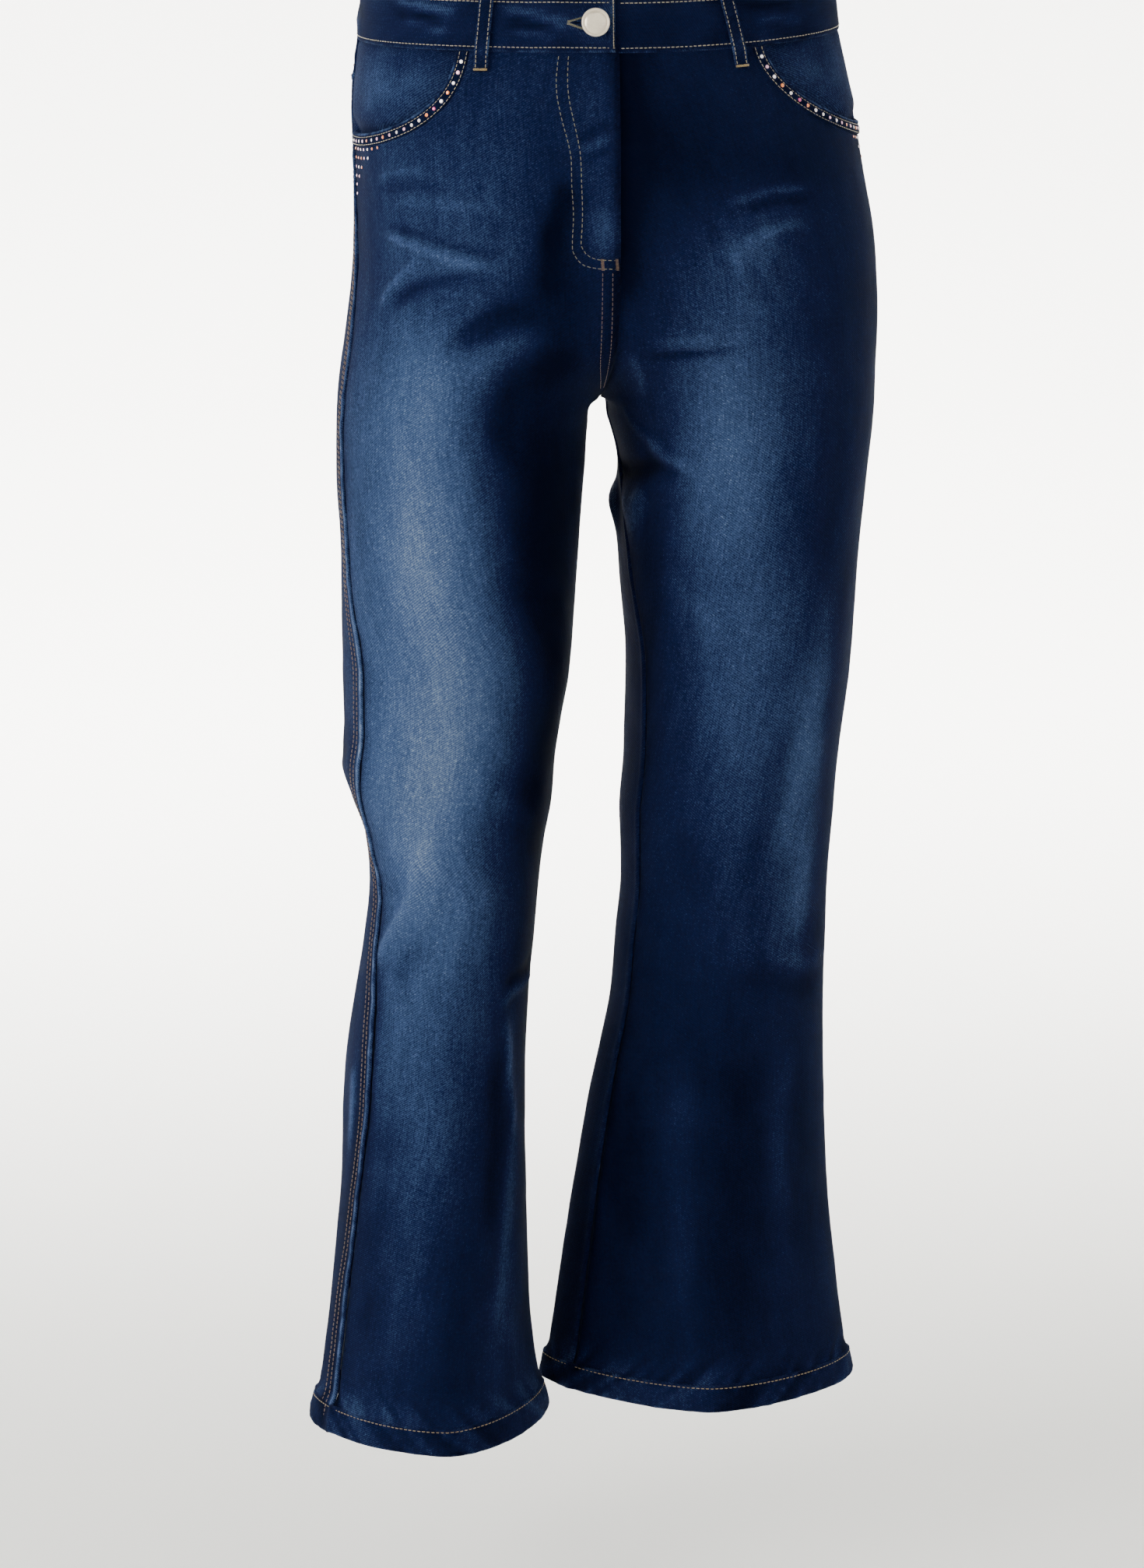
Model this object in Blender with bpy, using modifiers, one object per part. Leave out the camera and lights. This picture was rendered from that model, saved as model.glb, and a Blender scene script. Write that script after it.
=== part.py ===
"""Wide leg jeans, cropped and flared, standing as they do when worn: hollow, of separate cloth walls.

+Z is up, the front faces -Y and +X is the wearer's left. The origin is the centre of the waist, at half the
height of the waistband. Sizes below are in millimetres, and MM turns them into metres.

Each side of the body is a stack of level rings. A ring is four quarter ovals that meet at its outer, front,
inner and back limits. Above the crotch the two sides meet in the centre plane, and below it each is a leg.
A place on the cloth is a distance along a ring from a seam, and a level.
"""

import math
from collections import namedtuple
from functools import lru_cache

import bpy
import numpy as np
from mathutils import Vector

MM = 0.001
GAP = 0.3  # between pieces that meet edge to edge
LAY = 0.9  # between a piece and the flat facets of the cloth that it lies on

# Cloth and trim thickness
DENIM = 1.4
BAND = 2.6
HEM = 2.8
LOOP = 1.8
TRIM = 1.2

# Heights of the construction lines
WAIST_HALF = 17.5  # half the waistband's height
RISE_TOP_FRONT = -150.0
RISE_TOP_BACK = -105.0
CROTCH = -245.0
CROTCH_SPREAD = 0.0047  # how fast the legs close on each other towards the crotch
ARCH = 6.0  # height in which the crotch opens to the gap between the legs
ARCH_HALF = 7.5  # half that gap
ARCH_FADE_END = -285.0  # where the legs' own inner sides have taken over from the arch
ARCH_REACH = 10  # the higher, the less far the arch runs to the front and back
TURN_TOP = -190.0  # between these levels the cloth turns under the crotch
TURN_END = -290.0
TURN_REACH = 6  # the higher, the fewer columns follow that turn
HEM_TOP = {"right": -905.0, "left": -899.0}
HEM_BOTTOM = {"right": -924.0, "left": -918.0}
TILT_END = -170.0  # from here down to the flare the rings are horizontal
FLARE_TOP = -780.0
FLARE_END = -900.0
FLARE_DROP = 0.024  # slope of the hems: each is lower on its outer side

# The waist dips at the front and stands higher at the sides, and on the wearer's left
DIP_FRONT = 0.065
RISE_SIDES = 0.027
RISE_ROUND = 20.0
RISE_LEFT = 0.00017

# How much faster the front and the back close on the centre plane as they near the waist
CLOSE_FRONT = 3.0
CLOSE_BACK = 1.5
CLOSE_MOST = 0.98

# Pocket scoops, yokes and back pockets
SCOOP_WIDE = {"right": 114.5, "left": 119.5}
SCOOP_DEEP = 57.5
SCOOP_LOW = -WAIST_HALF - GAP - SCOOP_DEEP
SCOOP_ROUND = 2.3
POCKET_BAND_WIDE = 7.2
HIP_PIECE_TUCK = 12.0
HIP_PIECE_UP = 7.0  # how far it runs up inside the waistband
HIP_PIECE_IN = 2.8  # clear space between the front and the hip piece inside it
YOKE_SIDE = -42.0
YOKE_CENTRE = -76.0
BACK_POCKET_WIDE = 130.0
BACK_POCKET_TALL = 126.0
BACK_POCKET_POINT = 16.0
BACK_POCKET_FROM_CENTRE = 88.0
BACK_POCKET_BELOW_YOKE = 9.0

# Fly and waistband ends
UNDERLAP = 32.0  # how far the left end runs under the right one
LAP_FADE = 20.0
FLY_WIDE = 36.0
FLY_LIFT = 1.5
FLY_FADE = 8.0
SHIELD_PAST_CENTRE = 7.0

# Button
BUTTON_FROM_CENTRE = 13.5

# How far each layer's middle lies outside the middle of the leg's cloth
ON_PANEL = DENIM / 2 + LAY
BAND_OUT = 0.6
LAP_OUT = BAND + GAP
SCOOP_ROWS, TORSO_ROWS, RISE_ROWS = 6, 3, 5
PANEL_COLUMNS = 12
RING_POINTS = 97

# level, then how far the ring reaches from the centre plane on its outer and inner side, where it stands
# furthest forward and back (crown), its front, middle and back in Y, the degrees by which each seam lies in
# front of the ring's outermost and innermost point, and its roundness: 2 is an oval, less is more pointed.
# Above the crotch the inner side would lie past the centre plane, where the other side's cloth takes over.
Section = namedtuple("Section", "level outer inner crown front mid back outseam inseam roundness")

RIGHT = (
    Section(18, 148.9, -40, 22, -102, 0, 96, 0, 0, 2.2),
    Section(-18, 151.8, -40, 26, -107, 0, 101, 0, 0, 2.2),
    Section(-60, 156.3, -40, 38, -113, 1, 110, 3, 0, 2.2),
    Section(-100, 156.0, -40, 50, -116, 2, 118, 6, 0, 2.2),
    Section(-150, 156.8, -40, 65, -117, 4, 126, 11, 0, 2.15),
    Section(-200, 161.8, -18, 77, -113, 6, 125, 15, 0, 2.1),
    Section(-245, 167.8, 0, 86, -108, 8, 115, 16, 0, 2.05),
    Section(-262, 169.0, 7.5, 88, -107, 7, 110, 16, -1, 2.03),
    Section(-290, 169.4, 9.5, 90, -105, 4, 102, 17, -4, 2.0),
    Section(-350, 167.2, 14.9, 92, -101, 0, 89, 19, -12, 2.0),
    Section(-420, 167.2, 19.8, 95, -97, -5, 78, 32, -18, 2.0),
    Section(-455, 166.9, 26.4, 98, -95, -8, 72, 32, -20, 2.0),
    Section(-480, 169.3, 30.4, 99, -94, -10, 68, 31, -20, 1.95),
    Section(-505, 162.4, 32.4, 97, -93, -11, 64, 22, -20, 1.9),
    Section(-530, 154.0, 37.4, 96, -92, -12, 61, 18, -20, 1.9),
    Section(-560, 151.4, 41.3, 97, -91, -13, 59, 26, -20, 1.9),
    Section(-600, 155.8, 45.2, 101, -93, -15, 57, 28, -20, 1.85),
    Section(-640, 162.4, 48.8, 106, -96, -17, 56, 35, -20, 1.8),
    Section(-690, 169.1, 50.7, 110, -100, -19, 56, 38, -20, 1.75),
    Section(-770, 173.8, 50, 112, -105, -23, 56, 31, -20, 1.7),
    Section(-840, 181.1, 49, 112, -110, -27, 57, 27, -20, 1.6),
    Section(-890, 187.6, 45, 109, -113, -30, 58, 26, -20, 1.55),
    Section(-925, 193.5, 39.2, 107, -116, -32, 59, 26, -20, 1.55),
)
LEFT = (
    Section(18, 147.0, -40, 22, -102, 0, 96, 0, 0, 2.2),
    Section(-18, 151.5, -40, 26, -107, 0, 101, 0, 0, 2.2),
    Section(-60, 161.3, -40, 38, -113, 1, 110, 0, 0, 2.2),
    Section(-100, 169.0, -40, 50, -116, 2, 118, 0, 0, 2.2),
    Section(-150, 178.3, -40, 65, -117, 4, 126, -2, 0, 2.15),
    Section(-200, 180.7, -18, 77, -113, 6, 125, -4, 0, 2.1),
    Section(-245, 180.2, 0, 88, -108, 8, 115, -6, 0, 2.05),
    Section(-262, 179.3, 9, 91, -106.5, 7.5, 110.5, -7, 2, 2.03),
    Section(-290, 176.2, 14.5, 95, -104, 6, 103, -8, 6, 2.0),
    Section(-350, 170.7, 15, 94, -98, 5, 91, -10, 18, 2.0),
    Section(-420, 166.2, 20, 93, -91, 3, 81, -12, 26, 2.0),
    Section(-480, 159.3, 18.5, 90, -85, 0, 73, -14, 28, 1.95),
    Section(-520, 155.8, 15, 87, -80, -2, 67, -15, 28, 1.9),
    Section(-560, 152.5, 15.6, 85, -76, -4, 61, -15, 28, 1.9),
    Section(-600, 151.3, 12, 82, -73, -5, 58, -15, 28, 1.85),
    Section(-640, 150.5, 8.7, 79, -71, -5, 56, -15, 28, 1.8),
    Section(-690, 151.5, -1.2, 76, -69, -3, 55, -15, 28, 1.75),
    Section(-770, 155.4, -14.3, 73, -67, 1, 55, -15, 28, 1.65),
    Section(-840, 163.1, -24.2, 71, -66, 4, 56, -15, 28, 1.55),
    Section(-890, 170.6, -31.3, 71, -66, 6.5, 57, -15, 28, 1.5),
    Section(-925, 175.0, -36, 71, -66, 7.5, 58, -15, 28, 1.5),
)
SIDES = {"right": (RIGHT, -1.0), "left": (LEFT, 1.0)}

# A belt loop's path from its lower end: level, and how far its middle lies outside the leg's cloth
LOOP_WIDE = 9.0
LOOP_PATH = (
    (-29.5, 2.0),
    (-25, 2.2),
    (-20.5, 3.6),
    (-10, 4.3),
    (4, 4.3),
    (14, 3.8),
    (18.9, 2.6),
    (18.9, -0.6),
)
# Belt loops: name, front or back, and the distance from the centre seam at the loop's foot and at its top
Loop = namedtuple("Loop", "name panel foot top")
LOOPS = (
    Loop("belt_loop_front_right", "front", -83.5, -78.0),
    Loop("belt_loop_front_left", "front", 78.0, 66.0),
    Loop("belt_loop_back_right", "back", -112.0, -108.0),
    Loop("belt_loop_back_left", "back", 112.0, 108.0),
    Loop("belt_loop_back_centre", "back", 0.0, 0.0),
)

# The button's outline from its foot to the middle of its dome: radius, height
BUTTON_PROFILE = (
    (0.0, 0.0),
    (4.2, 0.0),
    (4.2, 1.3),
    (7.6, 1.4),
    (8.6, 1.9),
    (8.75, 2.5),
    (8.4, 3.1),
    (6.8, 3.7),
    (4.0, 4.15),
    (0.0, 4.3),
)
BUTTON_STEPS = 24


# ---------------------------------------------------------------- the shape of the body


def smooth_column(heights, values, level):
    """The value at a level on a curve through the rows that never overshoots them."""
    steps = np.diff(heights)
    slopes = np.diff(values) / steps
    bends = np.zeros(len(values))
    same_way = slopes[:-1] * slopes[1:] > 0
    mean = 2 * slopes[:-1] * slopes[1:] / np.where(same_way, slopes[:-1] + slopes[1:], 1)
    bends[1:-1] = np.where(same_way, mean, 0)
    bends[0], bends[-1] = slopes[0], slopes[-1]
    i = int(np.clip(np.searchsorted(heights, level) - 1, 0, len(steps) - 1))
    t = (level - heights[i]) / steps[i]
    h = steps[i]
    return (
        (1 + 2 * t) * (1 - t) ** 2 * values[i]
        + t * (1 - t) ** 2 * h * bends[i]
        + t * t * (3 - 2 * t) * values[i + 1]
        + t * t * (t - 1) * h * bends[i + 1]
    )


@lru_cache(maxsize=None)
def section(side, level):
    """The ring's sizes at any level, between the rows of its table."""
    rows = SIDES[side][0][::-1]
    columns = np.array(rows, float).T
    values = [smooth_column(columns[0], column, level) for column in columns[1:]]
    return Section(level, *values)


def ease(t):
    t = min(max(t, 0.0), 1.0)
    return t * t * (3 - 2 * t)


def closing(level, top, quicken):
    """How far the two sides have closed into separate legs: from nearly 0 where the rise starts to 1."""
    height = min(max((level - CROTCH) / (top - CROTCH), 0.0), CLOSE_MOST)
    start = CROTCH_SPREAD * (top - CROTCH)
    return (1 - height) ** (start + quicken * height)


def waist_tilt(x, y):
    """How far the waist stands above its middle level."""
    sides = np.sqrt(x * x + RISE_ROUND**2) - RISE_ROUND
    return DIP_FRONT * y + RISE_SIDES * sides + RISE_LEFT * x * np.abs(x)


@lru_cache(maxsize=None)
def arc(side, panel, level):
    """Points along one panel's half of a ring, from the outseam inwards, and the distance to each."""
    ring = section(side, level)
    power = 2 / ring.roundness
    front = panel == "front"
    seam = math.radians(ring.inseam)
    bridge = 0.0
    if level >= CROTCH:
        top, quicken = (RISE_TOP_FRONT, CLOSE_FRONT) if front else (RISE_TOP_BACK, CLOSE_BACK)
        closed = closing(level, top, quicken)
        inner_reach = ring.crown / closed
        end = math.acos(-(closed ** (1 / power)))
        end = end if front else -end
    else:
        opening = math.sqrt(1 - (1 - min((CROTCH - level) / ARCH, 1.0)) ** 2)
        bridge = max(ARCH_HALF * opening - ring.inner, 0.0) * ease((level - ARCH_FADE_END) / ARCH_HALF)
        inner_reach = ring.crown - ring.inner
        end = math.pi - seam if front else -math.pi - seam
    angle = np.linspace(math.radians(ring.outseam), end, RING_POINTS)
    across, along = np.cos(angle), np.sin(angle)
    half_wide = np.where(across >= 0, ring.outer - ring.crown, inner_reach)
    half_deep = np.where(along >= 0, ring.mid - ring.front, ring.back - ring.mid)
    x = ring.crown + half_wide * np.sign(across) * np.abs(across) ** power
    x += bridge * np.where(across < 0, across**ARCH_REACH, 0)
    y = ring.mid - half_deep * np.sign(along) * np.abs(along) ** power
    drop = ease((FLARE_TOP - level) / (FLARE_TOP - FLARE_END)) * FLARE_DROP * (x - ring.crown)
    x *= SIDES[side][1]
    z = level - drop + ease((level - TILT_END) / (-WAIST_HALF - TILT_END)) * waist_tilt(x, y)
    points = np.column_stack([x, y, z])
    steps = np.linalg.norm(np.diff(points, axis=0), axis=1)
    return points, np.concatenate([[0.0], np.cumsum(steps)])


def length(side, panel, level):
    return arc(side, panel, level)[1][-1]


def on_arc(side, panel, along, level):
    points, lengths = arc(side, panel, level)
    return np.array([np.interp(along, lengths, points[:, axis]) for axis in range(3)])


def place(side, panel, along, level, out=0.0):
    """A point at a distance along the ring from the outseam, moved out from the cloth."""
    point = on_arc(side, panel, along, level)
    return point + out * outward(side, panel, along, level) if out else point


def outward(side, panel, along, level):
    run = on_arc(side, panel, along + 2, level) - on_arc(side, panel, along - 2, level)
    climb = on_arc(side, panel, along, level + 2) - on_arc(side, panel, along, level - 2)
    normal = np.cross(run, climb)
    faces_in = (SIDES[side][1] > 0) == (panel == "front")
    normal = -normal if faces_in else normal
    return normal / np.linalg.norm(normal)


def from_centre(panel, distance, level, out=0.0):
    """A point at a signed distance from the centre seam: positive on the wearer's left."""
    side = "left" if distance >= 0 else "right"
    return place(side, panel, length(side, panel, level) - abs(distance), level, out)


def seam_inset(side, level, inner):
    """Half the gap at a seam, with room for both walls where the ring turns sharply there."""
    chords = []
    for panel in ("front", "back"):
        whole = length(side, panel, level)
        step = whole / PANEL_COLUMNS
        seam, beside = (whole, whole - step) if inner else (0.0, step)
        chord = on_arc(side, panel, beside, level) - on_arc(side, panel, seam, level)
        chords.append(chord / np.linalg.norm(chord))
    half_turn = math.pi / 2 - math.acos(np.clip(np.dot(*chords), -1, 1)) / 2
    return GAP / 2 + DENIM / 2 * math.tan(half_turn)


def outer_start(side, level):
    """Where both panels start at the outseam."""
    return seam_inset(side, level, inner=False)


def inner_end(side, panel, level):
    """Where a panel stops at its inner seam, so that its wall keeps half the gap to its neighbour."""
    whole = length(side, panel, level)
    if level < CROTCH - ARCH / 2:
        return whole - seam_inset(side, level, inner=True)
    if level < CROTCH:
        return whole - GAP / 2
    lean = abs(outward(side, panel, whole - 3, level)[0])
    need = GAP / 2 + (DENIM / 2 + 0.1) * lean
    points, lengths = arc(side, panel, level)
    return min(float(np.interp(need, np.abs(points[::-1, 0]), lengths[::-1])), whole - GAP / 2)


# ---------------------------------------------------------------- making objects


def material(name, colour, roughness, metallic=0.0):
    made = bpy.data.materials.new(name)
    made.use_nodes = True
    shader = made.node_tree.nodes["Principled BSDF"]
    shader.inputs["Base Color"].default_value = (*colour, 1.0)
    shader.inputs["Roughness"].default_value = roughness
    shader.inputs["Metallic"].default_value = metallic
    return made


def cloth(name, grid, thickness, look, closed=False):
    """A wall of even thickness whose middle runs through a grid of points."""
    grid = np.array(grid)
    rows, columns = grid.shape[:2]
    faces = []
    for row in range(rows - 1):
        for column in range(columns if closed else columns - 1):
            here, beside = row * columns + column, row * columns + (column + 1) % columns
            faces.append((here, beside, beside + columns, here + columns))
    mesh = bpy.data.meshes.new(name)
    mesh.from_pydata((grid.reshape(-1, 3) * MM).tolist(), [], faces)
    mesh.shade_smooth()
    mesh.materials.append(look)
    made = bpy.data.objects.new(name, mesh)
    COLLECTION.objects.link(made)
    wall = made.modifiers.new("Thickness", "SOLIDIFY")
    wall.thickness = thickness * MM
    wall.offset = 0.0
    return made


# ---------------------------------------------------------------- legs and yokes


def scoop_edge(side, turn):
    """Distance from the outseam and level of the pocket mouth, at a turn of 0 (waist) to 90 (side)."""
    power = 2 / SCOOP_ROUND
    wide = SCOOP_WIDE[side] * math.cos(math.radians(turn)) ** power
    deep = SCOOP_DEEP * math.sin(math.radians(turn)) ** power
    return wide, -WAIST_HALF - GAP - deep


def leg_levels(side):
    """Levels of the rows that both panels of a leg share, from the hips to the hem."""
    turns = np.linspace(0, math.pi / 2, RISE_ROWS + 1)
    rise = [RISE_TOP_FRONT + (CROTCH - RISE_TOP_FRONT) * math.sin(turn) for turn in turns]
    arch = [CROTCH - ARCH / 5, CROTCH - ARCH]
    end = HEM_TOP[side] + GAP
    legs = [row.level for row in SIDES[side][0] if end < row.level < CROTCH - ARCH]
    return rise + arch + legs + [end]


def torso_levels():
    """Levels at the outseam of the rows between the pocket mouth and the hips."""
    return list(np.linspace(SCOOP_LOW, RISE_TOP_FRONT, TORSO_ROWS + 1)[1:-1])


def panel_row(side, panel, start, level):
    """Evenly spaced stops, of which only the innermost follow the cloth's sharp turn under the crotch."""
    end = inner_end(side, panel, level)
    steady = end
    if TURN_END < level < TURN_TOP:
        ends = [inner_end(side, panel, limit) for limit in (TURN_END, TURN_TOP)]
        steady = np.interp(level, (TURN_END, TURN_TOP), ends)
    shares = np.linspace(0, 1, PANEL_COLUMNS + 1)
    stops = start + (steady - start) * shares + (end - steady) * shares**TURN_REACH
    return [(stop, level) for stop in stops]


def fly_lift(side, along, level):
    """The right front stands proud where it laps over the left one."""
    if side == "left":
        return 0.0
    distance = length(side, "front", level) - along
    across = ease((FLY_WIDE + FLY_FADE - distance) / FLY_FADE)
    return FLY_LIFT * across * ease((level - RISE_TOP_FRONT) / FLY_FADE)


def front_grid(side):
    rows = []
    for i in range(SCOOP_ROWS + 1):
        start, level = scoop_edge(side, 90 * i / SCOOP_ROWS)
        rows.append(panel_row(side, "front", max(start, outer_start(side, level)), level))
    for level in torso_levels() + leg_levels(side):
        rows.append(panel_row(side, "front", outer_start(side, level), level))
    return [[place(side, "front", s, level, fly_lift(side, s, level)) for s, level in row] for row in rows]


def yoke_level(share):
    """The yoke's lower seam, by the share of the way from the outseam to the centre back."""
    return YOKE_SIDE + (YOKE_CENTRE - YOKE_SIDE) * share


def sloped_row(side, share_down, top, bottom):
    """A row of the back between two lines that are given as levels by the share of the way to the centre."""
    row = []
    for share in np.linspace(0, 1, PANEL_COLUMNS + 1):
        level = top(share) + (bottom(share) - top(share)) * share_down
        start, end = outer_start(side, level), inner_end(side, "back", level)
        row.append(place(side, "back", start + (end - start) * share, level))
    return row


def under_yoke(share):
    return yoke_level(share) - GAP / 2


def back_grid(side):
    rows = []
    for level in [YOKE_SIDE, SCOOP_LOW] + torso_levels():
        share_down = (YOKE_SIDE - level) / (YOKE_SIDE - RISE_TOP_FRONT)
        rows.append(sloped_row(side, share_down, under_yoke, lambda share: RISE_TOP_FRONT))
    for level in leg_levels(side):
        row = panel_row(side, "back", outer_start(side, level), level)
        rows.append([place(side, "back", s, level) for s, level in row])
    return rows


def yoke_grid(side):
    return [
        sloped_row(side, i / 2, lambda share: -WAIST_HALF - GAP, lambda share: yoke_level(share) + GAP / 2)
        for i in range(3)
    ]


def hem_grid(side):
    rows = []
    for level in (HEM_TOP[side], HEM_BOTTOM[side]):
        front = [place(side, "front", s, level) for s in np.linspace(0, length(side, "front", level), 13)]
        back = [place(side, "back", s, level) for s in np.linspace(0, length(side, "back", level), 13)]
        rows.append(front[:-1] + back[:0:-1])
    return rows


# ---------------------------------------------------------------- pockets


def pocket_band_grid(side):
    """A narrow strip on the front, along the pocket mouth."""
    out = ON_PANEL + TRIM / 2
    turns = np.linspace(0, 90, 16)
    edge = np.array([scoop_edge(side, turn) for turn in turns])
    run = np.gradient(edge, axis=0)
    away = np.column_stack([-run[:, 1], run[:, 0]])
    away /= np.linalg.norm(away, axis=1)[:, None]
    away[0], away[-1] = (1, 0), (0, -1)
    rows = []
    for share in (0.0, 0.5, 1.0):
        line = edge + away * POCKET_BAND_WIDE * share
        rows.append([place(side, "front", max(s, GAP / 2), level, out) for s, level in line])
    return rows


def hip_piece_grid(side):
    """The cloth behind the pocket mouth. It runs on a little way inside the front."""
    inside = -(DENIM / 2 + HIP_PIECE_IN + TRIM / 2)
    levels = np.linspace(-WAIST_HALF + HIP_PIECE_UP, SCOOP_LOW - HIP_PIECE_TUCK, 5)
    stops = np.linspace(GAP / 2, SCOOP_WIDE[side] + HIP_PIECE_TUCK, 10)
    return [[place(side, "front", s, level, inside) for s in stops] for level in levels]


def back_pocket_grid(side):
    """A patch with a shallow point, under the yoke."""
    sign = SIDES[side][1]
    rows = []
    for down in np.linspace(0, 1, 8):
        row = []
        half = BACK_POCKET_WIDE / 2 * (1 - 0.1 * down)
        for share in np.linspace(-1, 1, 11):
            distance = BACK_POCKET_FROM_CENTRE + half * share
            whole = length(side, "back", YOKE_CENTRE)
            top = yoke_level(1 - distance / whole) - BACK_POCKET_BELOW_YOKE
            tall = BACK_POCKET_TALL + BACK_POCKET_POINT * (1 - abs(share))
            row.append(from_centre("back", sign * distance, top - tall * down, ON_PANEL + DENIM / 2))
        rows.append(row)
    return rows


# ---------------------------------------------------------------- waist


def waistband_grid():
    """One strip from its upper end at the centre front, round the right side, the back and the left side."""
    rows = []
    for level in (WAIST_HALF, 0.0, -WAIST_HALF):
        row = []
        whole = length("right", "front", level)
        for distance in np.concatenate([np.linspace(0, 60, 9), np.linspace(60, whole, 9)[1:]]):
            lap = LAP_OUT * ease((UNDERLAP + 2 + LAP_FADE - distance) / LAP_FADE)
            row.append(place("right", "front", whole - distance, level, BAND_OUT + lap))
        for s in np.linspace(0, length("right", "back", level), 15)[1:]:
            row.append(place("right", "back", s, level, BAND_OUT))
        for s in np.linspace(length("left", "back", level), 0, 15)[1:]:
            row.append(place("left", "back", s, level, BAND_OUT))
        for s in np.linspace(0, length("left", "front", level), 15)[1:]:
            row.append(place("left", "front", s, level, BAND_OUT))
        for distance in np.linspace(0, UNDERLAP, 5)[1:]:
            row.append(place("right", "front", whole - distance, level, BAND_OUT))
        rows.append(row)
    return rows


def fly_shield_grid():
    inside = -(DENIM + LAY)
    levels = np.linspace(-WAIST_HALF - GAP, RISE_TOP_FRONT + 4, 6)
    stops = np.linspace(-UNDERLAP, SHIELD_PAST_CENTRE, 5)
    return [[from_centre("front", stop, level, inside) for stop in stops] for level in levels]


def belt_loop_grid(loop):
    foot, top = LOOP_PATH[0][0], LOOP_PATH[-1][0]
    rows = []
    for level, out in LOOP_PATH:
        middle = loop.foot + (loop.top - loop.foot) * (level - foot) / (top - foot)
        edges = (middle - LOOP_WIDE / 2, middle, middle + LOOP_WIDE / 2)
        rows.append([from_centre(loop.panel, edge, level, out) for edge in edges])
    return rows


def button(look):
    mesh = bpy.data.meshes.new("button")
    profile = BUTTON_PROFILE[::-1]
    edges = [(i, i + 1) for i in range(len(profile) - 1)]
    mesh.from_pydata([(radius * MM, 0, height * MM) for radius, height in profile], edges, [])
    mesh.materials.append(look)
    made = bpy.data.objects.new("button", mesh)
    COLLECTION.objects.link(made)
    turn = made.modifiers.new("Turned", "SCREW")
    turn.axis = "Z"
    turn.steps = turn.render_steps = BUTTON_STEPS
    turn.use_merge_vertices = True
    turn.merge_threshold = 1e-5
    out = BAND_OUT + LAP_OUT + BAND / 2 + GAP
    made.location = from_centre("front", -BUTTON_FROM_CENTRE, 0.0, out) * MM
    along = length("right", "front", 0.0) - BUTTON_FROM_CENTRE
    facing = Vector(outward("right", "front", along, 0.0))
    made.rotation_euler = facing.to_track_quat("Z", "Y").to_euler()


def build():
    denim = material("denim", (0.03, 0.06, 0.15), 0.85)
    dark = material("waistband denim", (0.02, 0.045, 0.12), 0.85)
    metal = material("button metal", (0.78, 0.75, 0.7), 0.3, 1.0)
    for side in SIDES:
        cloth("front_" + side, front_grid(side), DENIM, denim)
        cloth("back_" + side, back_grid(side), DENIM, denim)
        cloth("yoke_" + side, yoke_grid(side), DENIM, denim)
        cloth("hem_" + side, hem_grid(side), HEM, denim, closed=True)
        cloth("hip_piece_" + side, hip_piece_grid(side), TRIM, denim)
        cloth("pocket_band_" + side, pocket_band_grid(side), TRIM, dark)
        cloth("back_pocket_" + side, back_pocket_grid(side), DENIM, denim)
    cloth("waistband", waistband_grid(), BAND, dark)
    cloth("fly_shield", fly_shield_grid(), DENIM, dark)
    for loop in LOOPS:
        cloth(loop.name, belt_loop_grid(loop), LOOP, dark)
    button(metal)


for old in list(bpy.data.objects):
    bpy.data.objects.remove(old, do_unlink=True)
COLLECTION = bpy.data.collections.new("wide_leg_jeans")
bpy.context.scene.collection.children.link(COLLECTION)
build()
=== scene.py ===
"""Looks of a pair of wide leg jeans, cropped and flared, standing as they do when worn.

Sizes on the cloth are in millimetres. A place on the cloth is a distance along a level ring from the
outseam, and a level, as in the part's own source. The wearer's right is on the viewer's left.
"""

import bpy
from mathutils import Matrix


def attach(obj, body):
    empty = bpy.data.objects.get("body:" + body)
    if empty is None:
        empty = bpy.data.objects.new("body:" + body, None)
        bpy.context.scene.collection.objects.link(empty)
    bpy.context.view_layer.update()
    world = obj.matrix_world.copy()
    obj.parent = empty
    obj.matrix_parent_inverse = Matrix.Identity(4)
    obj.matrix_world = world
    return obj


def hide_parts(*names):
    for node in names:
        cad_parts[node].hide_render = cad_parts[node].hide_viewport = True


bl_info = {
    "name": "Wide leg jeans",
    "version": (1, 0, 0),
    "blender": (4, 5, 0),
    "location": "3D View > Sidebar > Jeans",
    "description": "Builds cropped wide leg jeans of washed stretch denim, with stones along the pockets",
    "category": "Object",
}

import math
from collections import namedtuple
from functools import lru_cache, partial

import bpy
import numpy as np
from bpy.props import FloatProperty, FloatVectorProperty, PointerProperty
from mathutils import Matrix, Vector

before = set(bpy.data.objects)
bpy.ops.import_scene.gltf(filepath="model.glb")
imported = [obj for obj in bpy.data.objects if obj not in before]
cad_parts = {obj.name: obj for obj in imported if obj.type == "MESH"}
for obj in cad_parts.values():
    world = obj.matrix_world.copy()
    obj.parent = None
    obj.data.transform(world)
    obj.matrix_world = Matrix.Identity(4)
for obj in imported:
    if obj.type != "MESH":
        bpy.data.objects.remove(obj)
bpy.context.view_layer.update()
MM = 0.001

# ---------------------------------------------------------------- construction lines, as in the part

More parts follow.
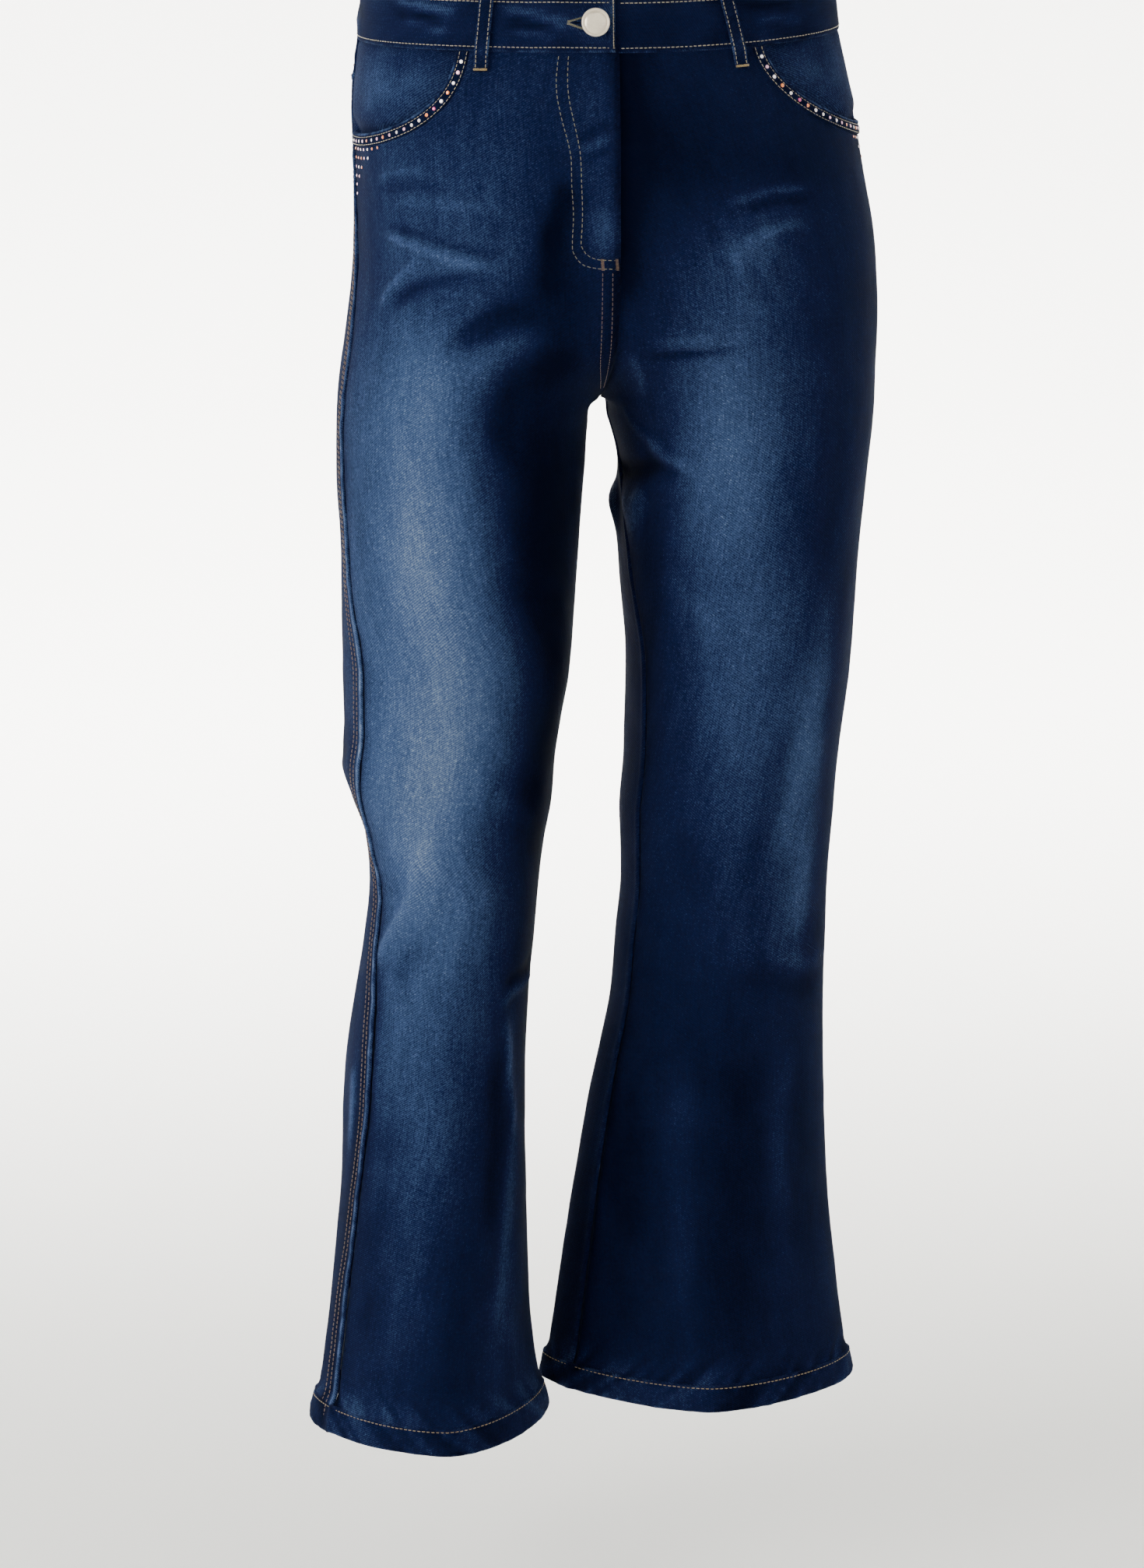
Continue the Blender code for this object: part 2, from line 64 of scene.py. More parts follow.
GAP = 0.3
DENIM = 1.4
BAND = 2.6
TRIM = 1.2
LAY = 0.9
WAIST_HALF = 17.5
RISE_TOP_FRONT = -150.0
RISE_TOP_BACK = -105.0
CROTCH = -245.0
CROTCH_SPREAD = 0.0047
ARCH = 6.0
ARCH_HALF = 7.5
ARCH_FADE_END = -285.0
ARCH_REACH = 10
TURN_TOP = -190.0
TURN_END = -290.0
TURN_REACH = 6
HEM_TOP = {"right": -905.0, "left": -899.0}
HEM_BOTTOM = {"right": -924.0, "left": -918.0}
TILT_END = -170.0
FLARE_TOP = -780.0
FLARE_END = -900.0
FLARE_DROP = 0.024
DIP_FRONT = 0.065
RISE_SIDES = 0.027
RISE_ROUND = 20.0
RISE_LEFT = 0.00017
CLOSE_FRONT = 3.0
CLOSE_BACK = 1.5
CLOSE_MOST = 0.98
SCOOP_WIDE = {"right": 114.5, "left": 119.5}
SCOOP_DEEP = 57.5
SCOOP_LOW = -WAIST_HALF - GAP - SCOOP_DEEP
SCOOP_ROUND = 2.3
POCKET_BAND_WIDE = 7.2
HIP_PIECE_TUCK = 12.0
HIP_PIECE_UP = 7.0
HIP_PIECE_IN = 2.8
YOKE_SIDE = -42.0
YOKE_CENTRE = -76.0
BACK_POCKET_WIDE = 130.0
BACK_POCKET_TALL = 126.0
BACK_POCKET_POINT = 16.0
BACK_POCKET_FROM_CENTRE = 88.0
BACK_POCKET_BELOW_YOKE = 9.0
UNDERLAP = 32.0
LAP_FADE = 20.0
FLY_WIDE = 36.0
FLY_LIFT = 1.5
FLY_FADE = 8.0
SHIELD_PAST_CENTRE = 7.0
SHIELD_DEEPER = 2.9
BUTTON_FROM_CENTRE = 13.5
BAND_OUT = 0.6
LAP_OUT = BAND + GAP
RING_POINTS = 241

Section = namedtuple("Section", "level outer inner crown front mid back outseam inseam roundness")
# The rows have the columns of a Section
RIGHT = (
    (18, 148.9, -40, 22, -102, 0, 96, 0, 0, 2.2),
    (-18, 151.8, -40, 26, -107, 0, 101, 0, 0, 2.2),
    (-60, 156.3, -40, 38, -113, 1, 110, 3, 0, 2.2),
    (-100, 156.0, -40, 50, -116, 2, 118, 6, 0, 2.2),
    (-150, 156.8, -40, 65, -117, 4, 126, 11, 0, 2.15),
    (-200, 161.8, -18, 77, -113, 6, 125, 15, 0, 2.1),
    (-245, 167.8, 0, 86, -108, 8, 115, 16, 0, 2.05),
    (-262, 169.0, 7.5, 88, -107, 7, 110, 16, -1, 2.03),
    (-290, 169.4, 9.5, 90, -105, 4, 102, 17, -4, 2.0),
    (-350, 167.2, 14.9, 92, -101, 0, 89, 19, -12, 2.0),
    (-420, 167.2, 19.8, 95, -97, -5, 78, 32, -18, 2.0),
    (-455, 166.9, 26.4, 98, -95, -8, 72, 32, -20, 2.0),
    (-480, 169.3, 30.4, 99, -94, -10, 68, 31, -20, 1.95),
    (-505, 162.4, 32.4, 97, -93, -11, 64, 22, -20, 1.9),
    (-530, 154.0, 37.4, 96, -92, -12, 61, 18, -20, 1.9),
    (-560, 151.4, 41.3, 97, -91, -13, 59, 26, -20, 1.9),
    (-600, 155.8, 45.2, 101, -93, -15, 57, 28, -20, 1.85),
    (-640, 162.4, 48.8, 106, -96, -17, 56, 35, -20, 1.8),
    (-690, 169.1, 50.7, 110, -100, -19, 56, 38, -20, 1.75),
    (-770, 173.8, 50, 112, -105, -23, 56, 31, -20, 1.7),
    (-840, 181.1, 49, 112, -110, -27, 57, 27, -20, 1.6),
    (-890, 187.6, 45, 109, -113, -30, 58, 26, -20, 1.55),
    (-925, 193.5, 39.2, 107, -116, -32, 59, 26, -20, 1.55),
)
LEFT = (
    (18, 147.0, -40, 22, -102, 0, 96, 0, 0, 2.2),
    (-18, 151.5, -40, 26, -107, 0, 101, 0, 0, 2.2),
    (-60, 161.3, -40, 38, -113, 1, 110, 0, 0, 2.2),
    (-100, 169.0, -40, 50, -116, 2, 118, 0, 0, 2.2),
    (-150, 178.3, -40, 65, -117, 4, 126, -2, 0, 2.15),
    (-200, 180.7, -18, 77, -113, 6, 125, -4, 0, 2.1),
    (-245, 180.2, 0, 88, -108, 8, 115, -6, 0, 2.05),
    (-262, 179.3, 9, 91, -106.5, 7.5, 110.5, -7, 2, 2.03),
    (-290, 176.2, 14.5, 95, -104, 6, 103, -8, 6, 2.0),
    (-350, 170.7, 15, 94, -98, 5, 91, -10, 18, 2.0),
    (-420, 166.2, 20, 93, -91, 3, 81, -12, 26, 2.0),
    (-480, 159.3, 18.5, 90, -85, 0, 73, -14, 28, 1.95),
    (-520, 155.8, 15, 87, -80, -2, 67, -15, 28, 1.9),
    (-560, 152.5, 15.6, 85, -76, -4, 61, -15, 28, 1.9),
    (-600, 151.3, 12, 82, -73, -5, 58, -15, 28, 1.85),
    (-640, 150.5, 8.7, 79, -71, -5, 56, -15, 28, 1.8),
    (-690, 151.5, -1.2, 76, -69, -3, 55, -15, 28, 1.75),
    (-770, 155.4, -14.3, 73, -67, 1, 55, -15, 28, 1.65),
    (-840, 163.1, -24.2, 71, -66, 4, 56, -15, 28, 1.55),
    (-890, 170.6, -31.3, 71, -66, 6.5, 57, -15, 28, 1.5),
    (-925, 175.0, -36, 71, -66, 7.5, 58, -15, 28, 1.5),
)
SIDES = {"right": (RIGHT, -1.0), "left": (LEFT, 1.0)}
PANELS = tuple((side, panel) for side in SIDES for panel in ("front", "back"))

LOOP_WIDE = 9.0
LOOP_PATH = (
    (-29.5, 2.0), (-25, 2.2), (-20.5, 3.6), (-10, 4.3), (4, 4.3), (14, 3.8), (18.9, 2.6), (18.9, -0.6),
)
LOOP_TALL = LOOP_PATH[-1][0] - LOOP_PATH[0][0]
Loop = namedtuple("Loop", "name panel foot top")
LOOPS = (
    Loop("belt_loop_front_right", "front", -83.5, -78.0),
    Loop("belt_loop_front_left", "front", 78.0, 66.0),
    Loop("belt_loop_back_right", "back", -112.0, -108.0),
    Loop("belt_loop_back_left", "back", 112.0, 108.0),
    Loop("belt_loop_back_centre", "back", 0.0, 0.0),
)


def smooth_column(heights, values, level):
    """The value at a level on a curve through the rows that never overshoots them."""
    steps = np.diff(heights)
    slopes = np.diff(values) / steps
    bends = np.zeros(len(values))
    same_way = slopes[:-1] * slopes[1:] > 0
    mean = 2 * slopes[:-1] * slopes[1:] / np.where(same_way, slopes[:-1] + slopes[1:], 1)
    bends[1:-1] = np.where(same_way, mean, 0)
    bends[0], bends[-1] = slopes[0], slopes[-1]
    i = int(np.clip(np.searchsorted(heights, level) - 1, 0, len(steps) - 1))
    t = (level - heights[i]) / steps[i]
    h = steps[i]
    return (
        (1 + 2 * t) * (1 - t) ** 2 * values[i]
        + t * (1 - t) ** 2 * h * bends[i]
        + t * t * (3 - 2 * t) * values[i + 1]
        + t * t * (t - 1) * h * bends[i + 1]
    )


@lru_cache(maxsize=None)
def section(side, level):
    """The ring's sizes at any level, between the rows of its table."""
    columns = np.array(SIDES[side][0][::-1], float).T
    values = [smooth_column(columns[0], column, level) for column in columns[1:]]
    return Section(level, *values)


def ease(t):
    t = np.clip(t, 0.0, 1.0)
    return t * t * (3 - 2 * t)


def closing(level, top, quicken):
    """How far the two sides have closed into separate legs: from nearly 0 where the rise starts to 1."""
    height = min(max((level - CROTCH) / (top - CROTCH), 0.0), CLOSE_MOST)
    start = CROTCH_SPREAD * (top - CROTCH)
    return (1 - height) ** (start + quicken * height)


def waist_tilt(x, y):
    """How far the waist stands above its middle level."""
    sides = np.sqrt(x * x + RISE_ROUND**2) - RISE_ROUND
    return DIP_FRONT * y + RISE_SIDES * sides + RISE_LEFT * x * np.abs(x)


@lru_cache(maxsize=None)
def arc(side, panel, level):
    """Points along one panel's half of a ring, from the outseam inwards, and the distance to each."""
    ring = section(side, level)
    power = 2 / ring.roundness
    front = panel == "front"
    seam = math.radians(ring.inseam)
    bridge = 0.0
    if level >= CROTCH:
        top, quicken = (RISE_TOP_FRONT, CLOSE_FRONT) if front else (RISE_TOP_BACK, CLOSE_BACK)
        closed = closing(level, top, quicken)
        inner_reach = ring.crown / closed
        end = math.acos(-(closed ** (1 / power)))
        end = end if front else -end
    else:
        opening = math.sqrt(1 - (1 - min((CROTCH - level) / ARCH, 1.0)) ** 2)
        fade = ease((level - ARCH_FADE_END) / ARCH_HALF)
        bridge = max(ARCH_HALF * opening - ring.inner, 0.0) * fade
        inner_reach = ring.crown - ring.inner
        end = math.pi - seam if front else -math.pi - seam
    angle = np.linspace(math.radians(ring.outseam), end, RING_POINTS)
    across, along = np.cos(angle), np.sin(angle)
    half_wide = np.where(across >= 0, ring.outer - ring.crown, inner_reach)
    half_deep = np.where(along >= 0, ring.mid - ring.front, ring.back - ring.mid)
    x = ring.crown + half_wide * np.sign(across) * np.abs(across) ** power
    x += bridge * np.where(across < 0, across**ARCH_REACH, 0)
    y = ring.mid - half_deep * np.sign(along) * np.abs(along) ** power
    drop = ease((FLARE_TOP - level) / (FLARE_TOP - FLARE_END)) * FLARE_DROP * (x - ring.crown)
    x *= SIDES[side][1]
    z = level - drop + ease((level - TILT_END) / (-WAIST_HALF - TILT_END)) * waist_tilt(x, y)
    points = np.column_stack([x, y, z])
    steps = np.linalg.norm(np.diff(points, axis=0), axis=1)
    return points, np.concatenate([[0.0], np.cumsum(steps)])


# ---------------------------------------------------------------- the cloth as a finely ruled sheet

RULED_TOP = 32
RULED_LOW = -934
RULED_SHARES = 181
Ruled = namedtuple("Ruled", "points lengths ends")


@lru_cache(maxsize=None)
def ruled(side, panel):
    """One panel's cloth at each whole level: points at even shares of the ring, its length and its seams."""
    levels = range(RULED_TOP, RULED_LOW - 1, -1)
    points = np.empty((len(levels), RULED_SHARES, 3))
    lengths, ends = np.empty(len(levels)), np.empty(len(levels))
    for row, level in enumerate(levels):
        ring, along = arc(side, panel, float(level))
        lengths[row] = along[-1]
        stops = np.linspace(0, along[-1], RULED_SHARES)
        for axis in range(3):
            points[row, :, axis] = np.interp(stops, along, ring[:, axis])
        ends[row] = along[-1] - GAP / 2
        if level >= CROTCH:
            # Above the crotch a panel stops beside the centre plane, by more where it leans across it
            lean = abs(ring[-1, 1] - ring[-12, 1]) / np.linalg.norm(ring[-1] - ring[-12])
            need = GAP / 2 + (DENIM / 2 + 0.1) * lean
            ends[row] = min(np.interp(need, np.abs(ring[::-1, 0]), along[::-1]), ends[row])
    return Ruled(points, lengths, ends)


def at_level(values, level):
    row = np.clip(RULED_TOP - np.asarray(level, float), 0, len(values) - 1.001)
    i = row.astype(int)
    return values[i] + (values[i + 1] - values[i]) * (row - i)


def ring_length(side, panel, level):
    return at_level(ruled(side, panel).lengths, level)


def inner_end(side, panel, level):
    """Where a panel stops at its inner seam or in the centre plane."""
    return at_level(ruled(side, panel).ends, level)


def floats(*values):
    """Numbers or arrays as arrays of one shape."""
    return np.broadcast_arrays(*(np.asarray(value, float) for value in values))


def on_ring(side, panel, across, level):
    """Points at distances from the outseam, and levels. Past a seam the cloth goes straight on."""
    across, level = floats(across, level)
    sheet = ruled(side, panel)
    row = np.clip(RULED_TOP - level, 0, len(sheet.lengths) - 1.001)
    i = row.astype(int)
    f = (row - i)[..., None]
    column = across / at_level(sheet.lengths, level) * (RULED_SHARES - 1)
    j = np.clip(np.floor(column).astype(int), 0, RULED_SHARES - 2)
    g = (column - j)[..., None]
    upper = sheet.points[i, j] * (1 - g) + sheet.points[i, j + 1] * g
    lower = sheet.points[i + 1, j] * (1 - g) + sheet.points[i + 1, j + 1] * g
    return upper * (1 - f) + lower * f


def unit(vectors):
    return vectors / np.linalg.norm(vectors, axis=-1, keepdims=True)


def outward(side, panel, across, level):
    """The direction out of the cloth."""
    run = on_ring(side, panel, across + 2.0, level) - on_ring(side, panel, across - 2.0, level)
    climb = on_ring(side, panel, across, level + 2.0) - on_ring(side, panel, across, level - 2.0)
    normal = unit(np.cross(run, climb))
    faces_in = (SIDES[side][1] > 0) == (panel == "front")
    return -normal if faces_in else normal


@lru_cache(maxsize=None)
def noise_table(seed):
    return np.random.default_rng(seed).uniform(-1, 1, (64, 64))


def soft_noise(seed, u, v):
    """Smooth noise from -1 to 1 over two numbers, the same in every run."""
    table = noise_table(seed)
    u, v = floats(u, v)
    i, j = np.floor(u).astype(int), np.floor(v).astype(int)
    a, b = ease(u - i), ease(v - j)
    i, j, k, m = i % 64, j % 64, (i + 1) % 64, (j + 1) % 64
    upper = table[i, j] * (1 - a) + table[k, j] * a
    lower = table[i, m] * (1 - a) + table[k, m] * a
    return upper * (1 - b) + lower * b


def bell(distance, width):
    return np.exp(-((distance / width) ** 2))


# ---------------------------------------------------------------- folds

# A fold's columns: height in mm, positive on a ridge and negative in a trough; width; and the places on
# the cloth that it runs through (distance from the outseam, level). It runs out at both ends.
FOLDS = {
    ("right", "front"): (
        # hip and lap
        (0.9, 2.2, ((46, -102), (64, -96), (80, -94), (104, -97))),
        (-0.45, 3.2, ((46, -111), (70, -105), (92, -104), (112, -106))),
        (0.8, 4.2, ((58, -117), (88, -113), (114, -114), (142, -117))),
        (-1.1, 2.8, ((52, -129), (78, -133), (98, -138), (118, -142), (142, -147))),
        (1.5, 2.5, ((44, -136), (66, -138), (82, -142), (98, -147), (116, -151), (138, -156))),
        (1.3, 3.0, ((82, -148), (70, -158), (54, -170), (42, -184))),
        (-1.4, 4.4, ((128, -160), (96, -162), (74, -169), (54, -182))),
        (-1.5, 8, ((170, -174), (142, -181), (120, -190), (103, -203), (94, -218))),
        (1.0, 8, ((168, -196), (142, -201), (126, -210), (114, -228))),
        (-2.0, 8, ((188, -88), (178, -112), (170, -134), (164, -156), (160, -180))),
        (-1.6, 11, ((196, -212), (168, -214), (150, -223), (140, -236), (136, -254), (138, -284))),
        (-0.9, 4, ((212, -62), (200, -66), (190, -74))),
        (0.7, 4, ((214, -68), (202, -73), (192, -80))),
        (-0.7, 3, ((212, -76), (203, -80), (196, -84))),
        # thigh
        (0.6, 16, ((70, -230), (80, -300), (78, -380))),
        (-0.7, 12, ((150, -300), (146, -360), (150, -430))),
        (0.5, 8, ((150, -330), (110, -345), (70, -372))),
        # knee
        (2.2, 4.6, ((66, -506), (60, -522), (50, -540), (35, -560), (22, -579), (8, -597), (-2, -614))),
        (-1.9, 7, ((76, -532), (66, -552), (54, -572), (40, -594), (20, -618))),
        (-0.6, 8, ((96, -474), (120, -486), (150, -504))),
        (0.5, 7, ((100, -488), (124, -500), (150, -518))),
        (-1.0, 5, ((158, -610), (130, -615), (104, -618))),
        (1.5, 3.6, ((160, -620), (132, -622), (110, -626), (98, -636))),
        # lower leg
        (1.0, 5, ((102, -630), (111, -660), (120, -694), (128, -730))),
        (-0.6, 9, ((92, -650), (98, -690), (106, -740), (108, -800))),
        (0.6, 14, ((134, -700), (136, -790), (142, -890))),
        (0.5, 14, ((58, -660), (60, -740), (54, -890))),
        (-0.5, 12, ((26, -690), (24, -770), (24, -880))),
        (-0.5, 12, ((168, -700), (172, -790), (178, -890))),
    ),
    ("left", "front"): (
        (1.1, 2.6, ((108, -108), (140, -106), (162, -110), (184, -116))),
        (-1.0, 3.2, ((118, -115), (144, -115), (170, -122))),
        (0.9, 3.0, ((126, -129), (150, -132), (180, -143))),
        (-0.6, 6, ((176, -150), (172, -164), (166, -178))),
        (0.7, 10, ((196, -150), (176, -138), (150, -132))),
        (-1.5, 2.4, ((246, -209), (226, -208), (208, -208), (180, -205))),
        (0.7, 4, ((246, -201), (222, -200), (196, -197))),
        (1.0, 2.6, ((257, -204), (252, -214), (251, -226), (254, -240))),
        (1.0, 2.8, ((282, -242), (274, -255), (258, -264), (236, -272))),
        (0.9, 3.4, ((258, -265), (234, -276), (208, -283))),
        (-0.8, 5, ((266, -274), (240, -284), (216, -290))),
        (-1.9, 5.4, ((330, -291), (304, -291), (272, -288), (236, -280))),
        (3.4, 13, ((345, -318), (310, -318), (272, -314), (246, -306))),
        # thigh
        (0.6, 18, ((188, -200), (184, -280), (170, -350))),
        (-0.6, 12, ((120, -210), (112, -280), (112, -360))),
        (0.5, 9, ((230, -350), (200, -366), (170, -392))),
        # knee
        (-0.6, 12, ((112, -440), (112, -520), (110, -600))),
        (0.8, 11, ((98, -440), (82, -520), (70, -606))),
        (0.7, 6, ((34, -620), (58, -617), (78, -611), (98, -600), (94, -576))),
        (-0.45, 9, ((30, -634), (64, -631), (96, -624), (122, -608))),
        (-0.5, 8, ((180, -520), (160, -542), (142, -570))),
        # lower leg
        (0.5, 14, ((148, -660), (150, -740), (154, -890))),
        (-0.5, 14, ((112, -660), (108, -740), (112, -890))),
        (0.5, 12, ((78, -664), (80, -740), (70, -890))),
        (-0.5, 12, ((188, -690), (192, -790), (196, -890))),
    ),
    ("right", "back"): (
        (-1.6, 9, ((226, -216), (190, -222), (150, -220), (110, -210))),
        (1.4, 10, ((230, -232), (196, -240), (154, -238), (112, -230))),
        (-1.2, 7, ((232, -250), (206, -258), (172, -260))),
        (-0.8, 9, ((40, -170), (80, -184), (120, -190))),
        (1.0, 16, ((110, -260), (112, -340), (114, -420))),
        (-1.0, 13, ((60, -270), (62, -350), (60, -430))),
        (-0.8, 12, ((176, -290), (172, -360), (170, -430))),
        (-2.0, 7, ((34, -508), (70, -516), (112, -514), (150, -506))),
        (1.7, 7, ((30, -524), (68, -533), (112, -532), (156, -522))),
        (-1.6, 7, ((40, -546), (76, -554), (120, -553), (160, -545))),
        (1.3, 8, ((60, -566), (100, -572), (146, -566))),
        (-1.0, 7, ((20, -470), (56, -480), (96, -484))),
        (0.7, 14, ((60, -620), (62, -720), (58, -890))),
        (-0.8, 14, ((94, -600), (98, -720), (100, -890))),
        (0.8, 14, ((134, -610), (138, -720), (144, -890))),
        (-1.0, 10, ((172, -640), (178, -740), (184, -890))),
        (0.9, 6, ((22, -676), (22, -706), (20, -742))),
    ),
    ("left", "back"): (
        (-1.6, 9, ((236, -218), (198, -226), (156, -222), (112, -210))),
        (1.4, 10, ((238, -236), (200, -244), (158, -241), (116, -230))),
        (-1.1, 7, ((240, -256), (212, -264), (176, -264))),
        (-2.8, 5, ((250, -291), (236, -291), (214, -289), (192, -288))),
        (3.6, 13, ((262, -318), (240, -318), (214, -315), (190, -308))),
        (1.0, 16, ((104, -270), (104, -350), (108, -440))),
        (-1.0, 13, ((60, -260), (58, -350), (60, -440))),
        (-0.8, 12, ((160, -330), (156, -390), (158, -450))),
        (-2.0, 7, ((20, -494), (60, -504), (108, -506), (156, -496))),
        (1.7, 7, ((20, -512), (62, -521), (110, -523), (160, -514))),
        (-1.5, 7, ((34, -534), (74, -542), (118, -543), (160, -536))),
        (1.2, 8, ((58, -556), (98, -562), (144, -558))),
        (0.7, 14, ((56, -620), (58, -720), (54, -886))),
        (-0.8, 14, ((92, -600), (96, -720), (98, -886))),
        (0.8, 14, ((134, -610), (138, -720), (142, -886))),
        (-1.1, 11, ((176, -640), (184, -740), (192, -886))),
    ),
}
FOLD_STOPS = 25
FOLD_DEPTH = 1.35  # how deep all folds are, beside the heights given


def smooth_line(places, count):
    """Points at even shares of a smooth line through a few places."""
    places = np.array(places, float)
    t = np.linspace(0, len(places) - 1, count)
    padded = np.vstack([2 * places[0] - places[1], places, 2 * places[-1] - places[-2]])
    i = np.clip(np.floor(t).astype(int), 0, len(places) - 2)
    u = (t - i)[:, None]
    a, b, c, d = (padded[i + k] for k in range(4))
    return 0.5 * (2 * b + (c - a) * u + (2 * a - 5 * b + 4 * c - d) * u**2 + (3 * b - a - 3 * c + d) * u**3)


def from_line(line, across, level):
    """How far each place is from a line, on which side, and its share of the way along."""
    best = np.full(across.shape, 1e9)
    share, sign = np.zeros(across.shape), np.ones(across.shape)
    pieces = len(line) - 1
    for k in range(pieces):
        start, run = line[k], line[k + 1] - line[k]
        away_s, away_l = across - start[0], level - start[1]
        t = np.clip((away_s * run[0] + away_l * run[1]) / (run @ run), 0, 1)
        distance = np.hypot(away_s - t * run[0], away_l - t * run[1])
        nearer = distance < best
        best = np.where(nearer, distance, best)
        share = np.where(nearer, (k + t) / pieces, share)
        sign = np.where(nearer, np.sign(run[0] * away_l - run[1] * away_s), sign)
    return best, sign, share


def fold_relief(side, panel, across, level):
    """The height of all folds at places on the cloth. Each is a little uneven along its way."""
    total = np.zeros(across.shape)
    for number, (height, width, places) in enumerate(FOLDS[side, panel]):
        line = smooth_line(places, FOLD_STOPS)
        reach = 2.6 * width
        lowest, highest = line.min(axis=0) - reach, line.max(axis=0) + reach
        near = (across > lowest[0]) & (across < highest[0]) & (level > lowest[1]) & (level < highest[1])
        if not near.any():
            continue
        s, z = across[near], level[near]
        wander = soft_noise(number + 11, s / 23, z / 23) * width * 0.35
        distance, sign, share = from_line(line, s + wander, z + wander)
        taper = ease(share / 0.22) * ease((1 - share) / 0.22)
        uneven = 1 + 0.4 * soft_noise(number + 71, s / 31 + number, z / 31)
        width = width * np.where(sign > 0, 1.25, 0.85)
        total[near] += FOLD_DEPTH * height * uneven * taper * bell(distance, width)
    return total


def slack(seed, across, level):
    """Cloth is never quite smooth: long soft swells, stronger up and down the leg than across it."""
    return (
        0.55 * soft_noise(seed, across / 46, level / 95)
        + 0.28 * soft_noise(seed + 1, across / 21 + level / 90, level / 38)
        + 0.10 * soft_noise(seed + 2, across / 9, level / 13)
    )


def edge_roll(distance, lift, tuck):
    """A folded edge that stands proud of its neighbour and turns in at its very end."""
    ridge = bell(distance - 2.6, 2.0) + 0.35 * ease((15 - distance) / 5)
    return lift * ridge - tuck * ease((1.3 - distance) / 1.8)


def pucker(seed, along, distance, reach):
    """Small pulls across a seam, which fade away from it."""
    short = soft_noise(seed, along / 5.5, distance / 14)
    long = soft_noise(seed + 1, along / 11, distance / 20)
    return (short + 0.6 * long) * np.exp(-np.abs(distance) / reach)


SEEDS = {key: 100 + 20 * number for number, key in enumerate(PANELS)}


def fly_lift(side, panel, across, level):
    """The right front stands proud where it laps over the left one."""
    if (side, panel) != ("right", "front"):
        return 0.0
    distance = ring_length(side, panel, level) - across
    lift = FLY_LIFT * ease((FLY_WIDE + FLY_FADE - distance) / FLY_FADE)
    return lift * ease((level - RISE_TOP_FRONT) / FLY_FADE)


def beside_fly(level):
    """From 0 to 1 where the left front is pressed in beside the fly's edge."""
    return ease((level + 176) / 36) * ease((-24 - level) / 30)


def relief(side, panel, across, level):
    """How far the outer face of a panel lies outside the middle of its smooth wall."""
    seed = SEEDS[side, panel]
    whole = ring_length(side, panel, level)
    inner = whole - across
    below_crotch = ease((CROTCH - level) / 12)
    outer_fade = ease((level + 20) / -8)
    height = fold_relief(side, panel, across, level) + slack(seed, across, level)
    # The hips and the waist are held smooth by the waistband
    height = height * (0.25 + 0.75 * ease((-28 - level) / 60))
    # Folds run out before a seam's stiff edge
    height = height * (0.45 + 0.55 * ease(across / 14)) * (0.5 + 0.5 * ease(inner / 14))
    height = height + 0.28 * pucker(seed + 5, level, across, 9) * outer_fade
    height = height + 0.22 * pucker(seed + 7, level, inner, 7)
    if panel == "back":
        uneven = 1 + 0.35 * soft_noise(seed + 9, level / 9, 0)
        height = height + edge_roll(across, 0.8, 1.3) * uneven
        height = height + edge_roll(inner, 0.6, 1.3) * below_crotch
    else:
        height = height - 1.7 * ease((2.2 - across) / 2.6)
        height = height - 1.7 * ease((2.2 - inner) / 2.6) * below_crotch
    # In the centre plane the right side laps over the left one
    above = 1 - below_crotch
    if side == "right":
        height = height + edge_roll(inner, 0.55, 0.9) * above
    else:
        height = height - 1.5 * ease((2.6 - inner) / 2.6) * above
        if panel == "front":
            height = height - 2.6 * bell(inner - 5, 9) * beside_fly(level)
    # The hem is thick, and lifts the cloth above it
    above_hem = level - HEM_TOP[side]
    height = height + 2.0 * ease((7 - above_hem) / 9)
    height = height + 0.5 * soft_noise(seed + 12, (across + level) / 7, 0) * ease((26 - above_hem) / 26)
    return height + fly_lift(side, panel, across, level)


def surface(side, panel, across, level, out=0.0):
    """Points on or above the outer face of a panel with its folds."""
    across, level, out = floats(across, level, out)
    return smooth_surface(side, panel, across, level, DENIM / 2 + relief(side, panel, across, level) + out)


def smooth_surface(side, panel, across, level, out):
    """Points at a height above the middle of the smooth wall, with no folds."""
    across, level, out = floats(across, level, out)
    return on_ring(side, panel, across, level) + out[..., None] * outward(side, panel, across, level)
